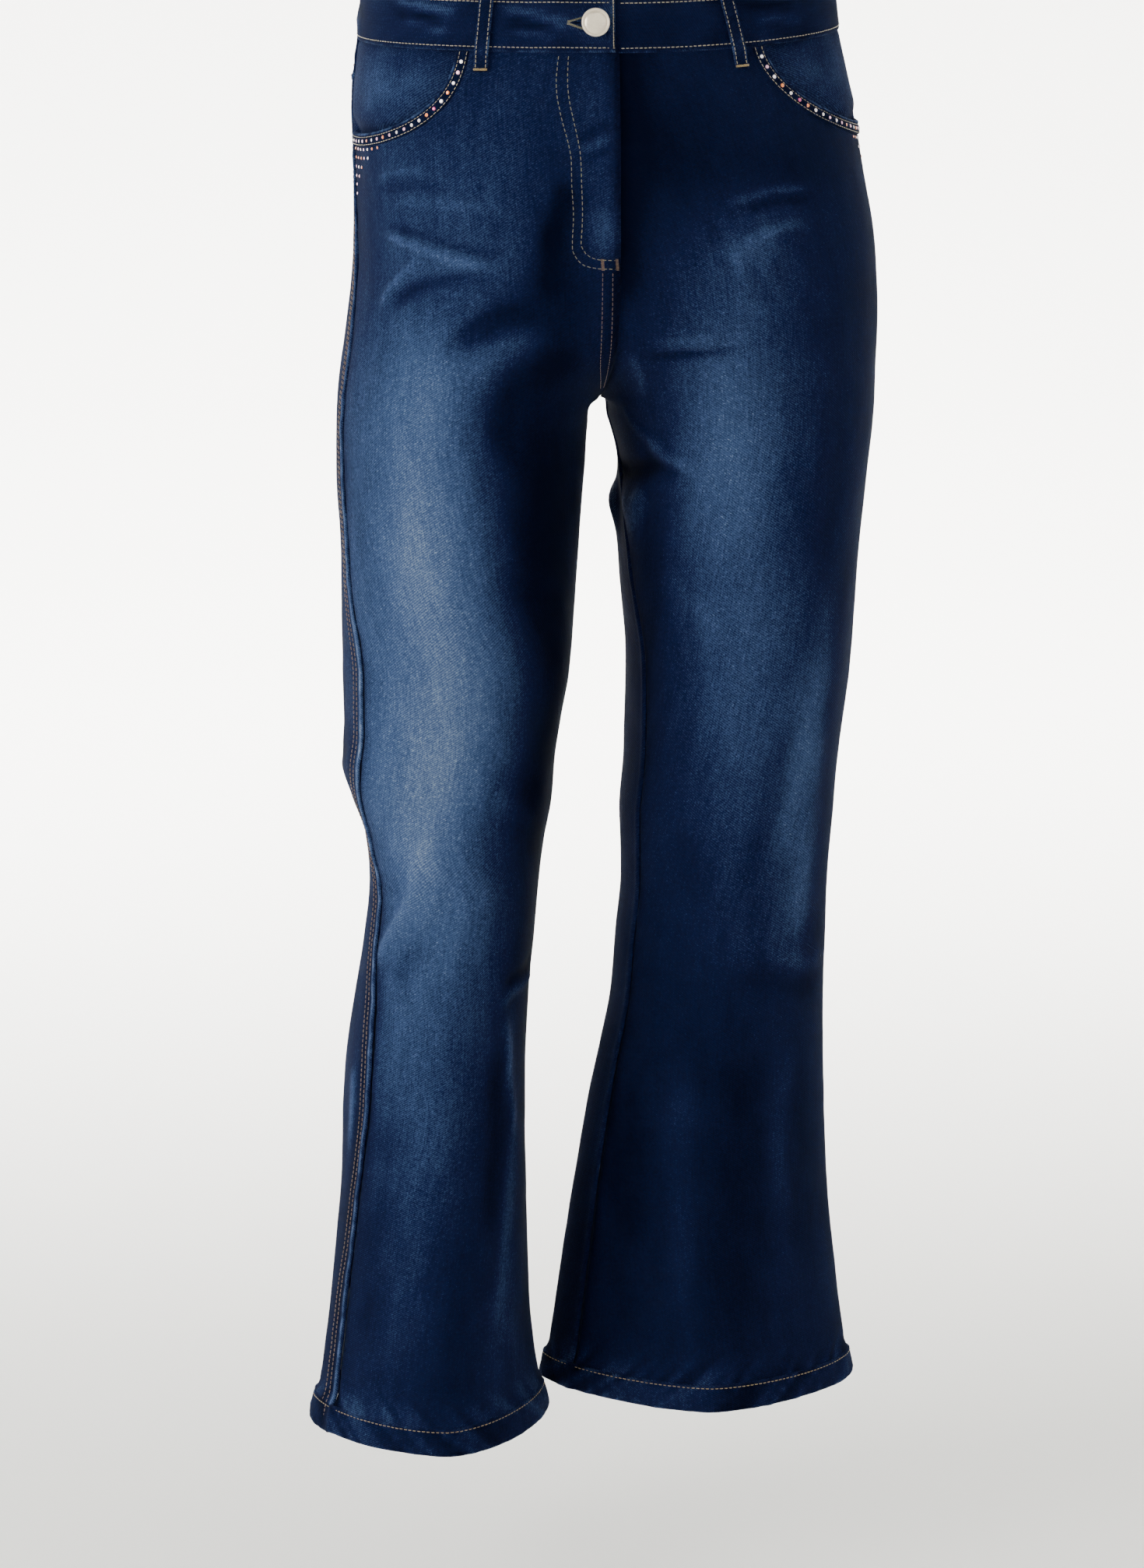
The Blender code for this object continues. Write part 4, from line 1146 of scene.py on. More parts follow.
def build_hem(side):
    """Cloth turned up twice and stitched. Shrinkage of the thread ropes it in slanting ridges."""
    top, bottom = HEM_TOP[side], HEM_BOTTOM[side]
    down, out = np.array(HEM_RING).T[:, None]
    parts, grains, fades = [], [], []
    along = 0.0
    for panel, way in (("front", 1), ("back", -1)):
        whole = float(ring_length(side, panel, top))
        shares = np.linspace(0, 1, int(whole / 1.6))[:, None]
        shares = shares[:-1] if way > 0 else shares[::-1][:-1]
        levels = top + (bottom - top) * down + np.zeros_like(shares)
        stops = shares * ring_length(side, panel, levels)
        distance = along + np.abs(shares - shares[0]) * whole
        ropes = soft_noise(61, (distance + 1.2 * levels) / 5.5, 0) + 0.5 * soft_noise(62, distance / 13, 0)
        front_face = ease((out - 1.5) / 2)
        seam = 1.3 * bell(np.minimum(stops, ring_length(side, panel, levels) - stops), 4.0)
        rise = out + front_face * (0.45 * ropes + 0.3 * soft_noise(63, distance / 3.1, levels / 5) + seam)
        sway = 0.7 * soft_noise(64, distance / 34, 0) * down
        parts.append(smooth_surface(side, panel, stops, levels + sway, rise))
        grains.append(weave_at(stops, levels, 7300.0))
        worn = 0.5 + 0.5 * soft_noise(65, distance / 2.4, 0)
        rubbed = 0.20 * worn * ease((down - 0.9) / 0.08) * front_face + 0.08 * bell(down - 0.05, 0.05) * worn
        # The leg's tone carries on into the hem, with the leg's painted shade and painted light
        as_leg = 0.3 * (fade(side, panel, stops, levels) - 0.15)
        fades.append(0.15 + 0.09 * ropes * front_face + rubbed + as_leg)
        along += whole
    points = np.vstack(parts)
    made = loft(f"hem_{side}_cloth", points, "washed", np.vstack(grains), np.vstack(fades), True)
    round_hem = float(ring_length(side, "front", bottom) + ring_length(side, "back", bottom)) * MM
    return dressed(made, "hem_" + side)


# ---------------------------------------------------------------- pocket bands and stones

POCKET_BAND_RING = (
    # distance from the mouth's edge into the front, height above the front's outer face
    (1.0, -2.2), (-0.5, -1.6), (-1.1, -0.3), (-0.9, 0.9), (-0.1, 1.7), (0.9, 1.6), (1.5, 1.05), (2.2, 1.35),
    (3.4, 1.7), (4.6, 1.65), (5.6, 1.3), (6.2, 1.25), (6.9, 1.1), (7.3, 0.5), (7.2, -0.2), (4.0, -0.3),
)


def scoop_frame(side, pitch):
    """Places along the pocket mouth and the direction into the front at each."""
    line = scoop_line(side, pitch)
    run = np.gradient(line, axis=0)
    away = unit(np.column_stack([-run[:, 1], run[:, 0]]))
    away[0], away[-1] = (1, 0), (0, -1)
    return line, away


def on_pocket_band(side, into, out, pitch):
    """Points along the pocket mouth at a distance into the front and a height above it."""
    line, away = scoop_frame(side, pitch)
    place = line + away * into
    return place, surface(side, "front", np.maximum(place[:, 0], 0.2), place[:, 1], out)


def build_pocket_band(side):
    line, away = scoop_frame(side, 1.3)
    into, out = np.array(POCKET_BAND_RING).T[:, None]
    into = into[..., None]
    place = line[:, None] + away[:, None] * into
    stops, levels = np.maximum(place[..., 0], -1.0), place[..., 1]
    along = np.arange(len(line))[:, None] * 1.3
    out = out + 0.16 * soft_noise(81, along / 4.5, into[..., 0] / 5) * ease((out + 0.5) / 1)
    points = surface(side, "front", stops, levels, out)
    flat = into[..., 0] + np.zeros_like(along)
    grain = weave_at(along, flat, 8700.0)
    worn = 0.55 + 0.45 * soft_noise(83, along / 2.3, 0)
    faded = 0.17 + 0.42 * worn * bell(flat + 0.4, 1.2) * (out > 0) + 0.10 * worn * bell(flat - 6.9, 0.6)
    made = loft(f"pocket_band_{side}_cloth", points, "pocket_band", grain, faded)
    return dressed(
        made, "pocket_band_" + side
    )


STONE_RINGS = ((1.0, 0.0), (1.0, 0.1), (0.8, 0.32), (0.52, 0.42))
STONE_SIDES = 8


def stone_mesh(centres, normals, sizes, spins):
    """Round cut stones: a girdle, two rows of facets and a flat table."""
    points, faces, spread = [], [], []
    helper = np.where(np.abs(normals[:, :1]) < 0.9, [[1.0, 0, 0]], [[0, 1.0, 0]])
    first = unit(np.cross(normals, helper))
    second = np.cross(normals, first)
    base = 0
    for centre, normal, u, v, size, spin in zip(centres, normals, first, second, sizes, spins):
        for ring, (radius, height) in enumerate(STONE_RINGS):
            turn = spin + np.arange(STONE_SIDES) * 2 * math.pi / STONE_SIDES
            turn = turn + (ring % 2 if ring > 1 else 0) * math.pi / STONE_SIDES
            across = np.outer(np.cos(turn), u) + np.outer(np.sin(turn), v)
            points.append(centre + size / 2 * (radius * across + height * normal))
            spread.append(0.12 * np.cos(3 * turn + spin))
        for ring in range(len(STONE_RINGS) - 1):
            low, high = base + ring * STONE_SIDES, base + (ring + 1) * STONE_SIDES
            for i in range(STONE_SIDES):
                j = (i + 1) % STONE_SIDES
                if ring == 0:
                    faces.append((low + i, low + j, high + j, high + i))
                elif ring % 2 == 1:
                    faces.append((low + i, low + j, high + i))
                    faces.append((low + j, high + j, high + i))
                else:
                    faces.append((low + i, low + j, high + j))
                    faces.append((low + i, high + j, high + i))
        top = base + (len(STONE_RINGS) - 1) * STONE_SIDES
        faces.append(tuple(top + i for i in range(STONE_SIDES)))
        faces.append(tuple(base + i for i in range(STONE_SIDES))[::-1])
        base += len(STONE_RINGS) * STONE_SIDES
    return np.vstack(points), faces, np.concatenate(spread)


BAND_STONE_INTO = 3.9
BAND_STONE_PITCH = 5.5
BAND_STONE_SPREAD = 0.36  # how much wider the pitch is at the side seam
BAND_STONE_ACROSS = 2.7
# Colours in order along the band from the waist, repeated: c crystal, r rose, a amber, m magenta
BAND_STONE_ORDER = "crcacmaccrcrarcarcrcrccra"
# The triangle below the band, at the side seam: stones in each row and the row's drop below the band in mm
TRIANGLE = ((7, 1.7), (5, 7.2), (3, 13.0), (2, 18.8), (1, 24.2), (1, 30.0))
TRIANGLE_FROM_SEAM = 5.0
TRIANGLE_PITCH = 7.5
TRIANGLE_ACROSS = 1.95
TRIANGLE_ORDER = "arcrcaa"
STONE_LOOKS = {"c": "crystal", "r": "rose", "a": "amber", "m": "magenta"}


def stone_places(side):
    """Every stone on one side: place on the cloth, height above it, size and colour."""
    found = []
    line, _ = on_pocket_band(side, BAND_STONE_INTO, 1.6, 0.2)
    run = np.arange(len(line)) * 0.2
    count = int(run[-1] / (BAND_STONE_PITCH * (1 + BAND_STONE_SPREAD / 2)))
    turns = np.linspace(0, 1, count + 1)[1:-1]
    stops = run[-1] * (turns * (1 - BAND_STONE_SPREAD / 4) + BAND_STONE_SPREAD / 4 * turns**3)
    for number, stop in enumerate(stops):
        across, level = line[int(stop / 0.2)]
        colour = BAND_STONE_ORDER[number % len(BAND_STONE_ORDER)]
        size = BAND_STONE_ACROSS * (1 - 0.26 * stop / run[-1])
        found.append((across, level, 1.55, size, colour))
    mouth = scoop_line(side, 1.0)
    for count, drop in TRIANGLE:
        for number in range(count):
            across = TRIANGLE_FROM_SEAM + TRIANGLE_PITCH * number
            level = np.interp(across, mouth[::-1, 0], mouth[::-1, 1]) - 1.04 * POCKET_BAND_WIDE - drop
            colour = TRIANGLE_ORDER[(number + count) % len(TRIANGLE_ORDER)] if count > 2 else "r"
            found.append((across, level, 0.0, TRIANGLE_ACROSS, colour))
    return found


def build_stones():
    """Foiled glass stones, each pressed into place, so they tilt a little this way and that."""
    rng = np.random.default_rng(7)
    by_look = {}
    for side in SIDES:
        places = stone_places(side)
        across, level, out, size = (np.array([place[k] for place in places], float) for k in range(4))
        centres = surface(side, "front", across, level, out)
        normals = unit(outward(side, "front", across, level) + rng.normal(0, 0.05, (len(places), 3)))
        sizes = size * rng.uniform(0.93, 1.05, len(places))
        spins = rng.uniform(0, math.pi, len(places))
        for i, place in enumerate(places):
            by_look.setdefault(place[4], []).append((centres[i], normals[i], sizes[i], spins[i]))
    for key, stones in by_look.items():
        centres, normals, sizes, spins = (np.array(column) for column in zip(*stones))
        points, faces, spread = stone_mesh(centres, normals, sizes, spins)
        name = STONE_LOOKS[key]
        made = add_mesh("stones_" + name, points, faces, [look(name)], {"ply": spread}, smooth=False)
        dressed(made, None)


# ---------------------------------------------------------------- waistband, shield, loops, pockets, button

WAISTBAND_RING = (
    # level, height above the band's middle
    (17.5, 0.0), (17.3, 0.75), (16.4, 1.3), (14.8, 1.45), (13.2, 1.42), (12.0, 1.15), (10.8, 1.42),
    (8.6, 1.55), (6.0, 1.6), (2.0, 1.65), (-2.0, 1.65), (-6.0, 1.6), (-10.0, 1.5), (-13.0, 1.4),
    (-14.8, 1.2), (-15.8, 1.0), (-16.6, 1.15), (-17.3, 0.8), (-17.6, 0.0), (-17.3, -0.8), (-15.0, -1.2),
    (-8.0, -1.3), (0.0, -1.3), (8.0, -1.3), (15.0, -1.2), (17.2, -0.8),
)
BAND_STEP = 2.2
BAND_FOLD_DEPTH = 1.9  # how deep all its wrinkles are, beside the heights given
BAND_ROWS = (12.0, -14.8)  # levels of the two long rows of stitches
# Soft wrinkles of the waistband: distance from its upper end and level, as folds
BAND_FOLDS = (
    (0.55, 3.2, ((150, 11), (130, 9), (108, 6), (96, 4))),
    (-0.5, 3.0, ((148, 5), (128, 2), (104, -1))),
    (0.45, 3.0, ((140, 2), (120, -3), (100, -9))),
    (0.5, 3.0, ((78, 8), (56, 6), (38, 1), (28, -1))),
    (-0.45, 2.6, ((72, 0), (54, -1), (34, -6))),
    (0.4, 2.6, ((66, -5), (50, -6), (34, -10))),
    (-0.4, 3.0, ((230, 8), (206, 2), (180, -3))),
    (0.45, 3.2, ((238, 0), (214, -6), (190, -10))),
    (0.5, 3.2, ((330, 9), (306, 4), (284, -2))),
    (-0.5, 3.2, ((420, 10), (396, 5), (376, 0))),
    (0.5, 3.2, ((455, 4), (430, -2), (404, -9))),
    (-0.45, 3.0, ((520, 9), (498, 3), (472, -3))),
    (0.5, 3.0, ((590, 8), (566, 4), (540, -4))),
    (0.4, 2.8, ((640, 2), (662, 5), (690, 6))),
    (0.4, 2.6, ((700, -6), (720, -3), (744, -2))),
    (-0.4, 2.6, ((705, 2), (726, 6), (750, 8))),
)


BAND_NEAR_END = 60.0


def band_stations(step):
    """Stations along the waistband from its upper end: side, panel, fixed distance or share, and lap."""
    found = []
    whole = float(ring_length("right", "front", 0.0))
    for distance in np.arange(1.2, BAND_NEAR_END, step):
        found.append(("right", "front", distance, None))
    for share in np.linspace(0, 1, int((whole - BAND_NEAR_END) / step))[:-1]:
        found.append(("right", "front", None, share))
    for side, panel, way in (("right", "back", 1), ("left", "back", -1), ("left", "front", 1)):
        shares = np.linspace(0, 1, int(float(ring_length(side, panel, 0.0)) / step))[:-1]
        for share in shares if way > 0 else 1 - shares:
            found.append((side, panel, None, share))
    for distance in np.arange(0, UNDERLAP + 0.1, step):
        found.append(("right", "front", -distance - 1e-6, None))
    return found


def band_points(stations, levels, outs):
    """Points of the waistband for rings of levels and heights at each station."""
    rows = np.empty((len(stations), len(levels), 3))
    groups = {}
    for index, station in enumerate(stations):
        kind = "share" if station[2] is None else "lap" if station[2] < 0 else "near"
        groups.setdefault((station[0], station[1], kind), []).append(index)
    for (side, panel, kind), indices in groups.items():
        whole = ring_length(side, panel, levels)[None, :]
        values = np.array([stations[i][2] if kind != "share" else stations[i][3] for i in indices])[:, None]
        if kind == "near":
            across = whole - values
        elif kind == "lap":
            across = whole + values
        elif (side, panel) == ("right", "front"):
            across = (whole - BAND_NEAR_END) * (1 - values)
        else:
            across = whole * values
        lift = BAND_OUT
        if (side, panel) == ("right", "front") and kind != "lap":
            lift = BAND_OUT + LAP_OUT * ease((UNDERLAP + 2 + LAP_FADE - (whole - across)) / LAP_FADE)
        rows[indices] = smooth_surface(side, panel, across, levels, lift + outs[indices])
    return rows


def build_waistband():
    """One folded strip, whose right end laps over its left end."""
    stations = band_stations(BAND_STEP)
    levels, heights = np.array(WAISTBAND_RING).T
    whole = sum(float(ring_length(side, panel, 0.0)) for side, panel in PANELS) + UNDERLAP
    along = np.linspace(0, whole, len(stations))[:, None] + np.zeros_like(levels)
    height = levels[None, :] + np.zeros_like(along)
    wrinkles = np.zeros(along.shape)
    for depth, width, places in BAND_FOLDS:
        distance, _, share = from_line(smooth_line(places, FOLD_STOPS), along, height)
        taper = ease(share / 0.25) * ease((1 - share) / 0.25)
        wrinkles += BAND_FOLD_DEPTH * depth * taper * bell(distance, width)
    wrinkles += 0.18 * soft_noise(91, along / 15, height / 11) + 0.10 * soft_noise(92, along / 5, height / 6)
    edge_pulls = 0.16 * soft_noise(93, along / 4.2, 0) * sum(bell(height - row, 2.2) for row in BAND_ROWS)
    outer = ease((heights + 0.2) / 1.0)[None, :]
    outs = heights[None, :] + outer * (wrinkles + edge_pulls)
    # The upper end is a thick stitched edge
    end = bell(along - 2.2, 2.0) * 0.7 - 1.0 * ease((0.8 - along) / 0.8)
    outs = outs + outer * end
    points = band_points(stations, levels, outs)
    grain = weave_at(height, along, 6400.0)
    worn = 0.5 + 0.5 * soft_noise(95, along / 2.6, height / 9)
    # The wrinkles are lighter on their ridges, as wear and painted light, and darker in their troughs, as
    # painted shade
    faded = 0.20 + 0.15 * wrinkles + 0.04 * soft_noise(96, along / 26, height / 14)
    faded += 0.30 * worn * bell(height - 17.2, 0.9) + 0.20 * worn * bell(height + 17.2, 0.8)
    faded += 0.26 * worn * bell(along - 1.0, 1.4) + 0.08 * bell(along - 14, 12) * bell(height, 12)
    # Painted shade: the band darkens over the left front, which is in shade
    faded = faded - 0.07 * ease((along - 610) / 60)
    faded = np.where(outer > 0.5, faded, 0.22)
    made = loft("waistband_cloth", points, "band", grain, faded)
    return dressed(made, "waistband")


def band_row(level, out, skip=0.0):
    """A line along the waistband at one level, from its upper end."""
    stations = band_stations(BAND_STEP)
    last = len(stations) - int((UNDERLAP - skip) / BAND_STEP) - 1
    stations = stations[:last]
    return band_points(stations, np.array([level]), np.full((len(stations), 1), out))[:, 0]


def from_centre(panel, distance, level, out, folded=False):
    """Points at signed distances from the centre seam: positive on the wearer's left."""
    distance, level, out = floats(distance, level, out)
    make = surface if folded else smooth_surface
    halves = [
        make(side, panel, ring_length(side, panel, level) - np.abs(distance), level, out)
        for side in ("right", "left")
    ]
    return np.where((distance >= 0)[..., None], halves[1], halves[0])


def build_fly_shield():
    """The strip behind the fly opening. It is cut double and overlocked at its edge."""
    inside = -(DENIM / 2 + LAY)
    levels = np.linspace(-WAIST_HALF - GAP, RISE_TOP_FRONT + 4, 44)[:, None]
    stops = np.linspace(-UNDERLAP, SHIELD_PAST_CENTRE, 15)[None, :]
    stops, levels = (a.copy() for a in np.broadcast_arrays(stops, levels))
    edge = np.minimum(stops + UNDERLAP, SHIELD_PAST_CENTRE - stops)
    # It lies deeper where the left front is pressed in beside the fly
    pressed = SHIELD_DEEPER * ease((levels + 186) / 36) * ease((-15 - levels) / 30) * ease((stops + 28) / 20)
    points = from_centre("front", stops, levels, inside - pressed - 0.4 * ease((1.5 - edge) / 1.5))
    grain = weave_at(stops, levels, 3900.0)
    faded = 0.24 + 0.06 * soft_noise(51, stops / 9, levels / 13)
    inward = np.array([0.0, 0.0, -80.0])
    made = cloth_sheet("fly_shield", points, grain, faded, inward, outer="band")
    return dressed(made, "fly_shield")


def build_back_pocket(side):
    """A patch with a shallow point, folded in all round and crowned by what it has held."""
    sign = SIDES[side][1]
    down = np.linspace(0, 1, 46)[:, None]
    share = np.linspace(-1, 1, 44)[None, :]
    half = BACK_POCKET_WIDE / 2 * (1 - 0.1 * down)
    distance = BACK_POCKET_FROM_CENTRE + half * share
    whole = float(ring_length(side, "back", YOKE_CENTRE))
    top = yoke_level(1 - distance / whole) - BACK_POCKET_BELOW_YOKE
    tall = BACK_POCKET_TALL + BACK_POCKET_POINT * (1 - np.abs(share))
    levels = top - tall * down
    edge = np.minimum(np.minimum((1 - np.abs(share)) * half, (1 - down) * tall), 40)
    mouth = down * tall
    lift = DENIM + 0.5 * bell(edge - 2.6, 2.2) - 1.0 * ease((1.0 - edge) / 1.2) + 1.6 * ease(edge / 40)
    lift = lift + 0.7 * bell(mouth - 2.2, 2.4) + 0.5 * bell(mouth - 16, 2.0)
    lift = lift + 1.2 * ease((24 - mouth) / 24) * ease(edge / 30)
    lift = lift + 0.4 * soft_noise(21, distance / 24, levels / 31)
    lift = lift + 0.3 * pucker(23, levels + distance, edge, 7)
    points = from_centre("back", sign * distance, levels, lift, folded=True)
    grain = weave_at(distance, levels, 4400.0 + sign)
    worn = 0.5 + 0.5 * soft_noise(25, (distance + levels) / 3, 0)
    faded = fade(side, "back", ring_length(side, "back", levels) - distance, levels) + 0.05 * ease(edge / 30)
    faded = faded + (0.20 * bell(edge - 1.6, 1.6) + 0.18 * bell(mouth - 1.6, 1.8)) * worn
    faded = faded - 0.05 * bell(edge - 11, 3) - 0.05 * bell(mouth - 21, 4)
    faded = faded + 0.03 * soft_noise(27, distance / 20, levels / 24)
    inward = np.array([60.0 * sign, 0.0, -150.0])
    made = cloth_sheet("back_pocket_" + side, points, grain, faded, inward)
    return dressed(made, "back_pocket_" + side)


LOOP_RING = (
    # distance from the loop's middle, height above its middle
    (-4.5, 0.0), (-4.35, 0.6), (-3.8, 0.95), (-3.0, 0.9), (-1.8, 0.85), (0.0, 0.7), (1.8, 0.85), (3.0, 0.9),
    (3.8, 0.95), (4.35, 0.6), (4.5, 0.0), (4.2, -0.6), (2.0, -0.8), (-2.0, -0.8), (-4.2, -0.6),
)


def loop_points(loop, path, across, outs):
    foot, top = LOOP_PATH[0][0], LOOP_PATH[-1][0]
    level, out = path[:, :1], path[:, 1:]
    middle = loop.foot + (loop.top - loop.foot) * (level - foot) / (top - foot)
    return from_centre(loop.panel, middle + across, level + 0 * across, out + outs)


def build_belt_loop(loop):
    path = smooth_line(LOOP_PATH, 64)
    path = np.vstack([path[:1] + (path[0] - path[1]) * 0.6, path])
    across, height = np.array(LOOP_RING).T[:, None]
    along = np.concatenate([[0], np.cumsum(np.linalg.norm(np.diff(path, axis=0), axis=1))])[:, None]
    seed = 31 + LOOPS.index(loop)
    height = height + 0.18 * soft_noise(seed, along / 4, across / 3) * (height > 0.3)
    across = across + 0.25 * soft_noise(seed + 40, along / 11, 0)
    points = loop_points(loop, path, across, height)
    flat_across = across + np.zeros_like(along)
    grain = weave_at(flat_across, along, 70.0 * seed)
    worn = 0.5 + 0.5 * soft_noise(seed + 3, along / 2.1, 0)
    faded = 0.13 + 0.30 * worn * bell(np.abs(flat_across) - 4.0, 0.7) * (height > 0.2)
    faded = faded + 0.08 * bell(along - 14, 7) + 0 * flat_across
    made = loft(loop.name + "_cloth", points, "band", grain, faded)
    return dressed(made, loop.name)


BUTTON_OUTLINE = (
    # radius, height above the waistband
    (0.0, 4.9), (1.6, 4.84), (3.2, 4.64), (4.6, 4.34), (5.7, 3.98), (6.4, 3.6), (6.75, 3.24), (7.0, 3.12),
    (7.25, 3.3), (7.5, 3.68), (7.85, 3.86), (8.25, 3.76), (8.55, 3.44), (8.72, 2.95), (8.7, 2.4),
    (8.5, 1.9), (8.1, 1.6), (7.4, 1.42), (4.4, 1.35), (4.2, 1.2), (4.2, -0.4), (0.0, -0.4),
)
BUTTON_SIDES = 96


def build_button():
    """A shank button with a domed face inside a groove and a soft round rim. Its face is bare."""
    turn = np.linspace(0, 2 * math.pi, BUTTON_SIDES, endpoint=False)
    rings = BUTTON_OUTLINE[1:-1]
    points = [(radius * math.cos(a), radius * math.sin(a), height) for radius, height in rings for a in turn]
    points += [(0, 0, BUTTON_OUTLINE[0][1]), (0, 0, BUTTON_OUTLINE[-1][1])]
    rows = len(BUTTON_OUTLINE) - 2
    faces = grid_faces(rows, BUTTON_SIDES, closed_columns=True).tolist()
    top, foot, last = len(points) - 2, len(points) - 1, (rows - 1) * BUTTON_SIDES
    for i in range(BUTTON_SIDES):
        j = (i + 1) % BUTTON_SIDES
        faces.append([top, j, i])
        faces.append([foot, last + i, last + j])
    across = float(ring_length("right", "front", 0.0)) - BUTTON_FROM_CENTRE
    out = BAND_OUT + LAP_OUT + BAND / 2 + GAP
    place = smooth_surface("right", "front", across, 0.0, out)
    facing = Vector(outward("right", "front", np.array(across), np.array(0.0)))
    spin = facing.to_track_quat("Z", "Y").to_matrix()
    points = np.array(points) @ np.array(spin).T + place
    made = add_mesh("button_metal_cap", points, faces, [pearl_metal()])
    if signed_volume(points, faces) < 0:
        made.data.flip_normals()
    return dressed(made, "button")


# ---------------------------------------------------------------- stitches

STITCH_RINGS = ((0.0, 0.55, -0.25), (0.22, 1.0, 0.45), (0.78, 1.0, 0.45), (1.0, 0.55, -0.25))
STITCH_SIDES = 6
STITCH_FILL = 0.7  # the share of the pitch that a stitch takes. The rest is the needle's hole


def stitch_mesh(starts, ends, normals, thick):
    """Stitches as short arched cords from start to end, whose ends sink into the cloth."""
    count = len(starts)
    run = ends - starts
    long = np.linalg.norm(run, axis=1)
    ahead = run / long[:, None]
    beside = unit(np.cross(ahead, normals))
    up = np.cross(beside, ahead)
    turn = np.arange(STITCH_SIDES) * 2 * math.pi / STITCH_SIDES
    points = np.empty((count, len(STITCH_RINGS), STITCH_SIDES, 3))
    ply = np.empty((count, len(STITCH_RINGS), STITCH_SIDES, 3))
    for ring, (share, wide, rise) in enumerate(STITCH_RINGS):
        middle = starts + run * share + up * (rise * thick / 2)
        for i, a in enumerate(turn):
            points[:, ring, i] = middle + thick / 2 * wide * (math.cos(a) * beside + 0.85 * math.sin(a) * up)
            ply[:, ring, i, 0] = long * share
            ply[:, ring, i, 1] = a * thick / 2
            ply[:, ring, i, 2] = np.arange(count) * 0.37
    rings = len(STITCH_RINGS)
    one = grid_faces(rings, STITCH_SIDES, closed_columns=True)
    step = rings * STITCH_SIDES
    offsets = np.arange(count)[:, None, None] * step
    faces = (one[None] + offsets).reshape(-1, 4).tolist()
    first = np.arange(STITCH_SIDES)[::-1]
    last = np.arange(STITCH_SIDES) + (rings - 1) * STITCH_SIDES
    faces += (first[None] + np.arange(count)[:, None] * step).tolist()
    faces += (last[None] + np.arange(count)[:, None] * step).tolist()
    return points.reshape(-1, 3), faces, ply.reshape(-1, 3)


class Stitching:
    """Stitches of one thread, gathered row by row and made into one object."""

    def __init__(self, name, look_name, slot, seed):
        self.name, self.look_name, self.slot = name, look_name, slot
        self.rng = np.random.default_rng(seed)
        self.starts, self.ends, self.normals = [], [], []

    def row(self, line, normals, pitch, fill=STITCH_FILL):
        """Stitches along a line of points, each a little uneven."""
        both, stops = resample(np.hstack([line, normals]), pitch)
        points, outs = both[:, :3], unit(both[:, 3:])
        step = np.diff(points, axis=0)
        spare = (1 - fill) / 2
        sway = self.rng.normal(0, 0.05, (len(step), 3))
        self.starts.append(points[:-1] + step * spare + sway)
        self.ends.append(points[1:] - step * spare + self.rng.normal(0, 0.05, (len(step), 3)))
        self.normals.append(outs[:-1])

    def bars(self, starts, ends, normals):
        """Single threads from point to point, as in a bar tack."""
        self.starts.append(starts)
        self.ends.append(ends)
        self.normals.append(normals)

    def finish(self, thick):
        starts, ends, normals = (np.vstack(part) for part in (self.starts, self.ends, self.normals))
        points, faces, ply = stitch_mesh(starts, ends, normals, thick)
        made = add_mesh(self.name, points, faces, [look(self.look_name)], {"ply": ply})
        return dressed(made, None)


THREAD_LIFT = 0.12


def cloth_row(stitching, side, panel, across, level, pitch, out=THREAD_LIFT, fill=STITCH_FILL):
    """A row of stitches over a panel, through places on its cloth."""
    across, level = np.asarray(across, float), np.asarray(level, float)
    line = surface(side, panel, across, level, out)
    stitching.row(line, outward(side, panel, across, level), pitch, fill)


def sew_side_seams(side):
    """Two rows of tobacco thread on the back beside the outseam, from the yoke to the hem."""
    sewn = Stitching(f"side_seam_stitches_{side}", "tobacco", "denim", 201)
    levels = np.arange(YOKE_SIDE - 1, HEM_BOTTOM[side] + 4, -2.0)
    sway = 0.5 * soft_noise(17, levels / 60, 0)
    narrow = 1 - 0.30 * bell(levels + 720, 60)
    for distance in (8.6, 14.6):
        cloth_row(sewn, side, "back", distance * narrow + sway, levels, SEAM_PITCH)
    return sewn.finish(0.6)


SEAM_PITCH = 3.2
WAIST_PITCH = 2.8
FLY_OUTER = (
    (177, -19), (178, -40), (182, -60), (186, -80), (185.5, -100), (184.5, -120), (182, -136), (182, -144),
    (187, -151.5), (196, -154), (209, -154.5),
)
FLY_INNER = (
    (183, -19), (185, -40), (189, -60), (192, -80), (191.5, -100), (190, -120), (187.5, -136),
    (187.5, -141), (191.5, -146.5), (198, -148.6), (209, -149),
)


def sew_fly():
    """The curved fly rows, the tacks at their foot and the twin rows of the centre seam below them."""
    sewn = Stitching("fly_stitches", "olive", "denim", 301)
    for places in (FLY_OUTER, FLY_INNER):
        across, level = smooth_line(places, 160).T
        cloth_row(sewn, "right", "front", across, level, 3.4, fill=0.64)
    made = [sewn.finish(0.42)]
    tacks = Stitching("fly_tacks", "tobacco", "denim", 303)
    for across in (199.5, 208.5):
        levels = np.arange(-148.2, -155.2, -0.62)
        middle = np.full(levels.shape, across)
        starts = surface("right", "front", middle - 1.0, levels, 0.3)
        ends = surface("right", "front", middle + 1.0, levels - 0.2, 0.3)
        tacks.bars(starts, ends, outward("right", "front", middle, levels))
    for distance in (3.2, 9.4):
        levels = np.arange(-156.5, -236, -1.5)
        across = inner_end("right", "front", levels) - distance
        cloth_row(tacks, "right", "front", across, levels, 3.0)
    made.append(tacks.finish(0.36))
    return made


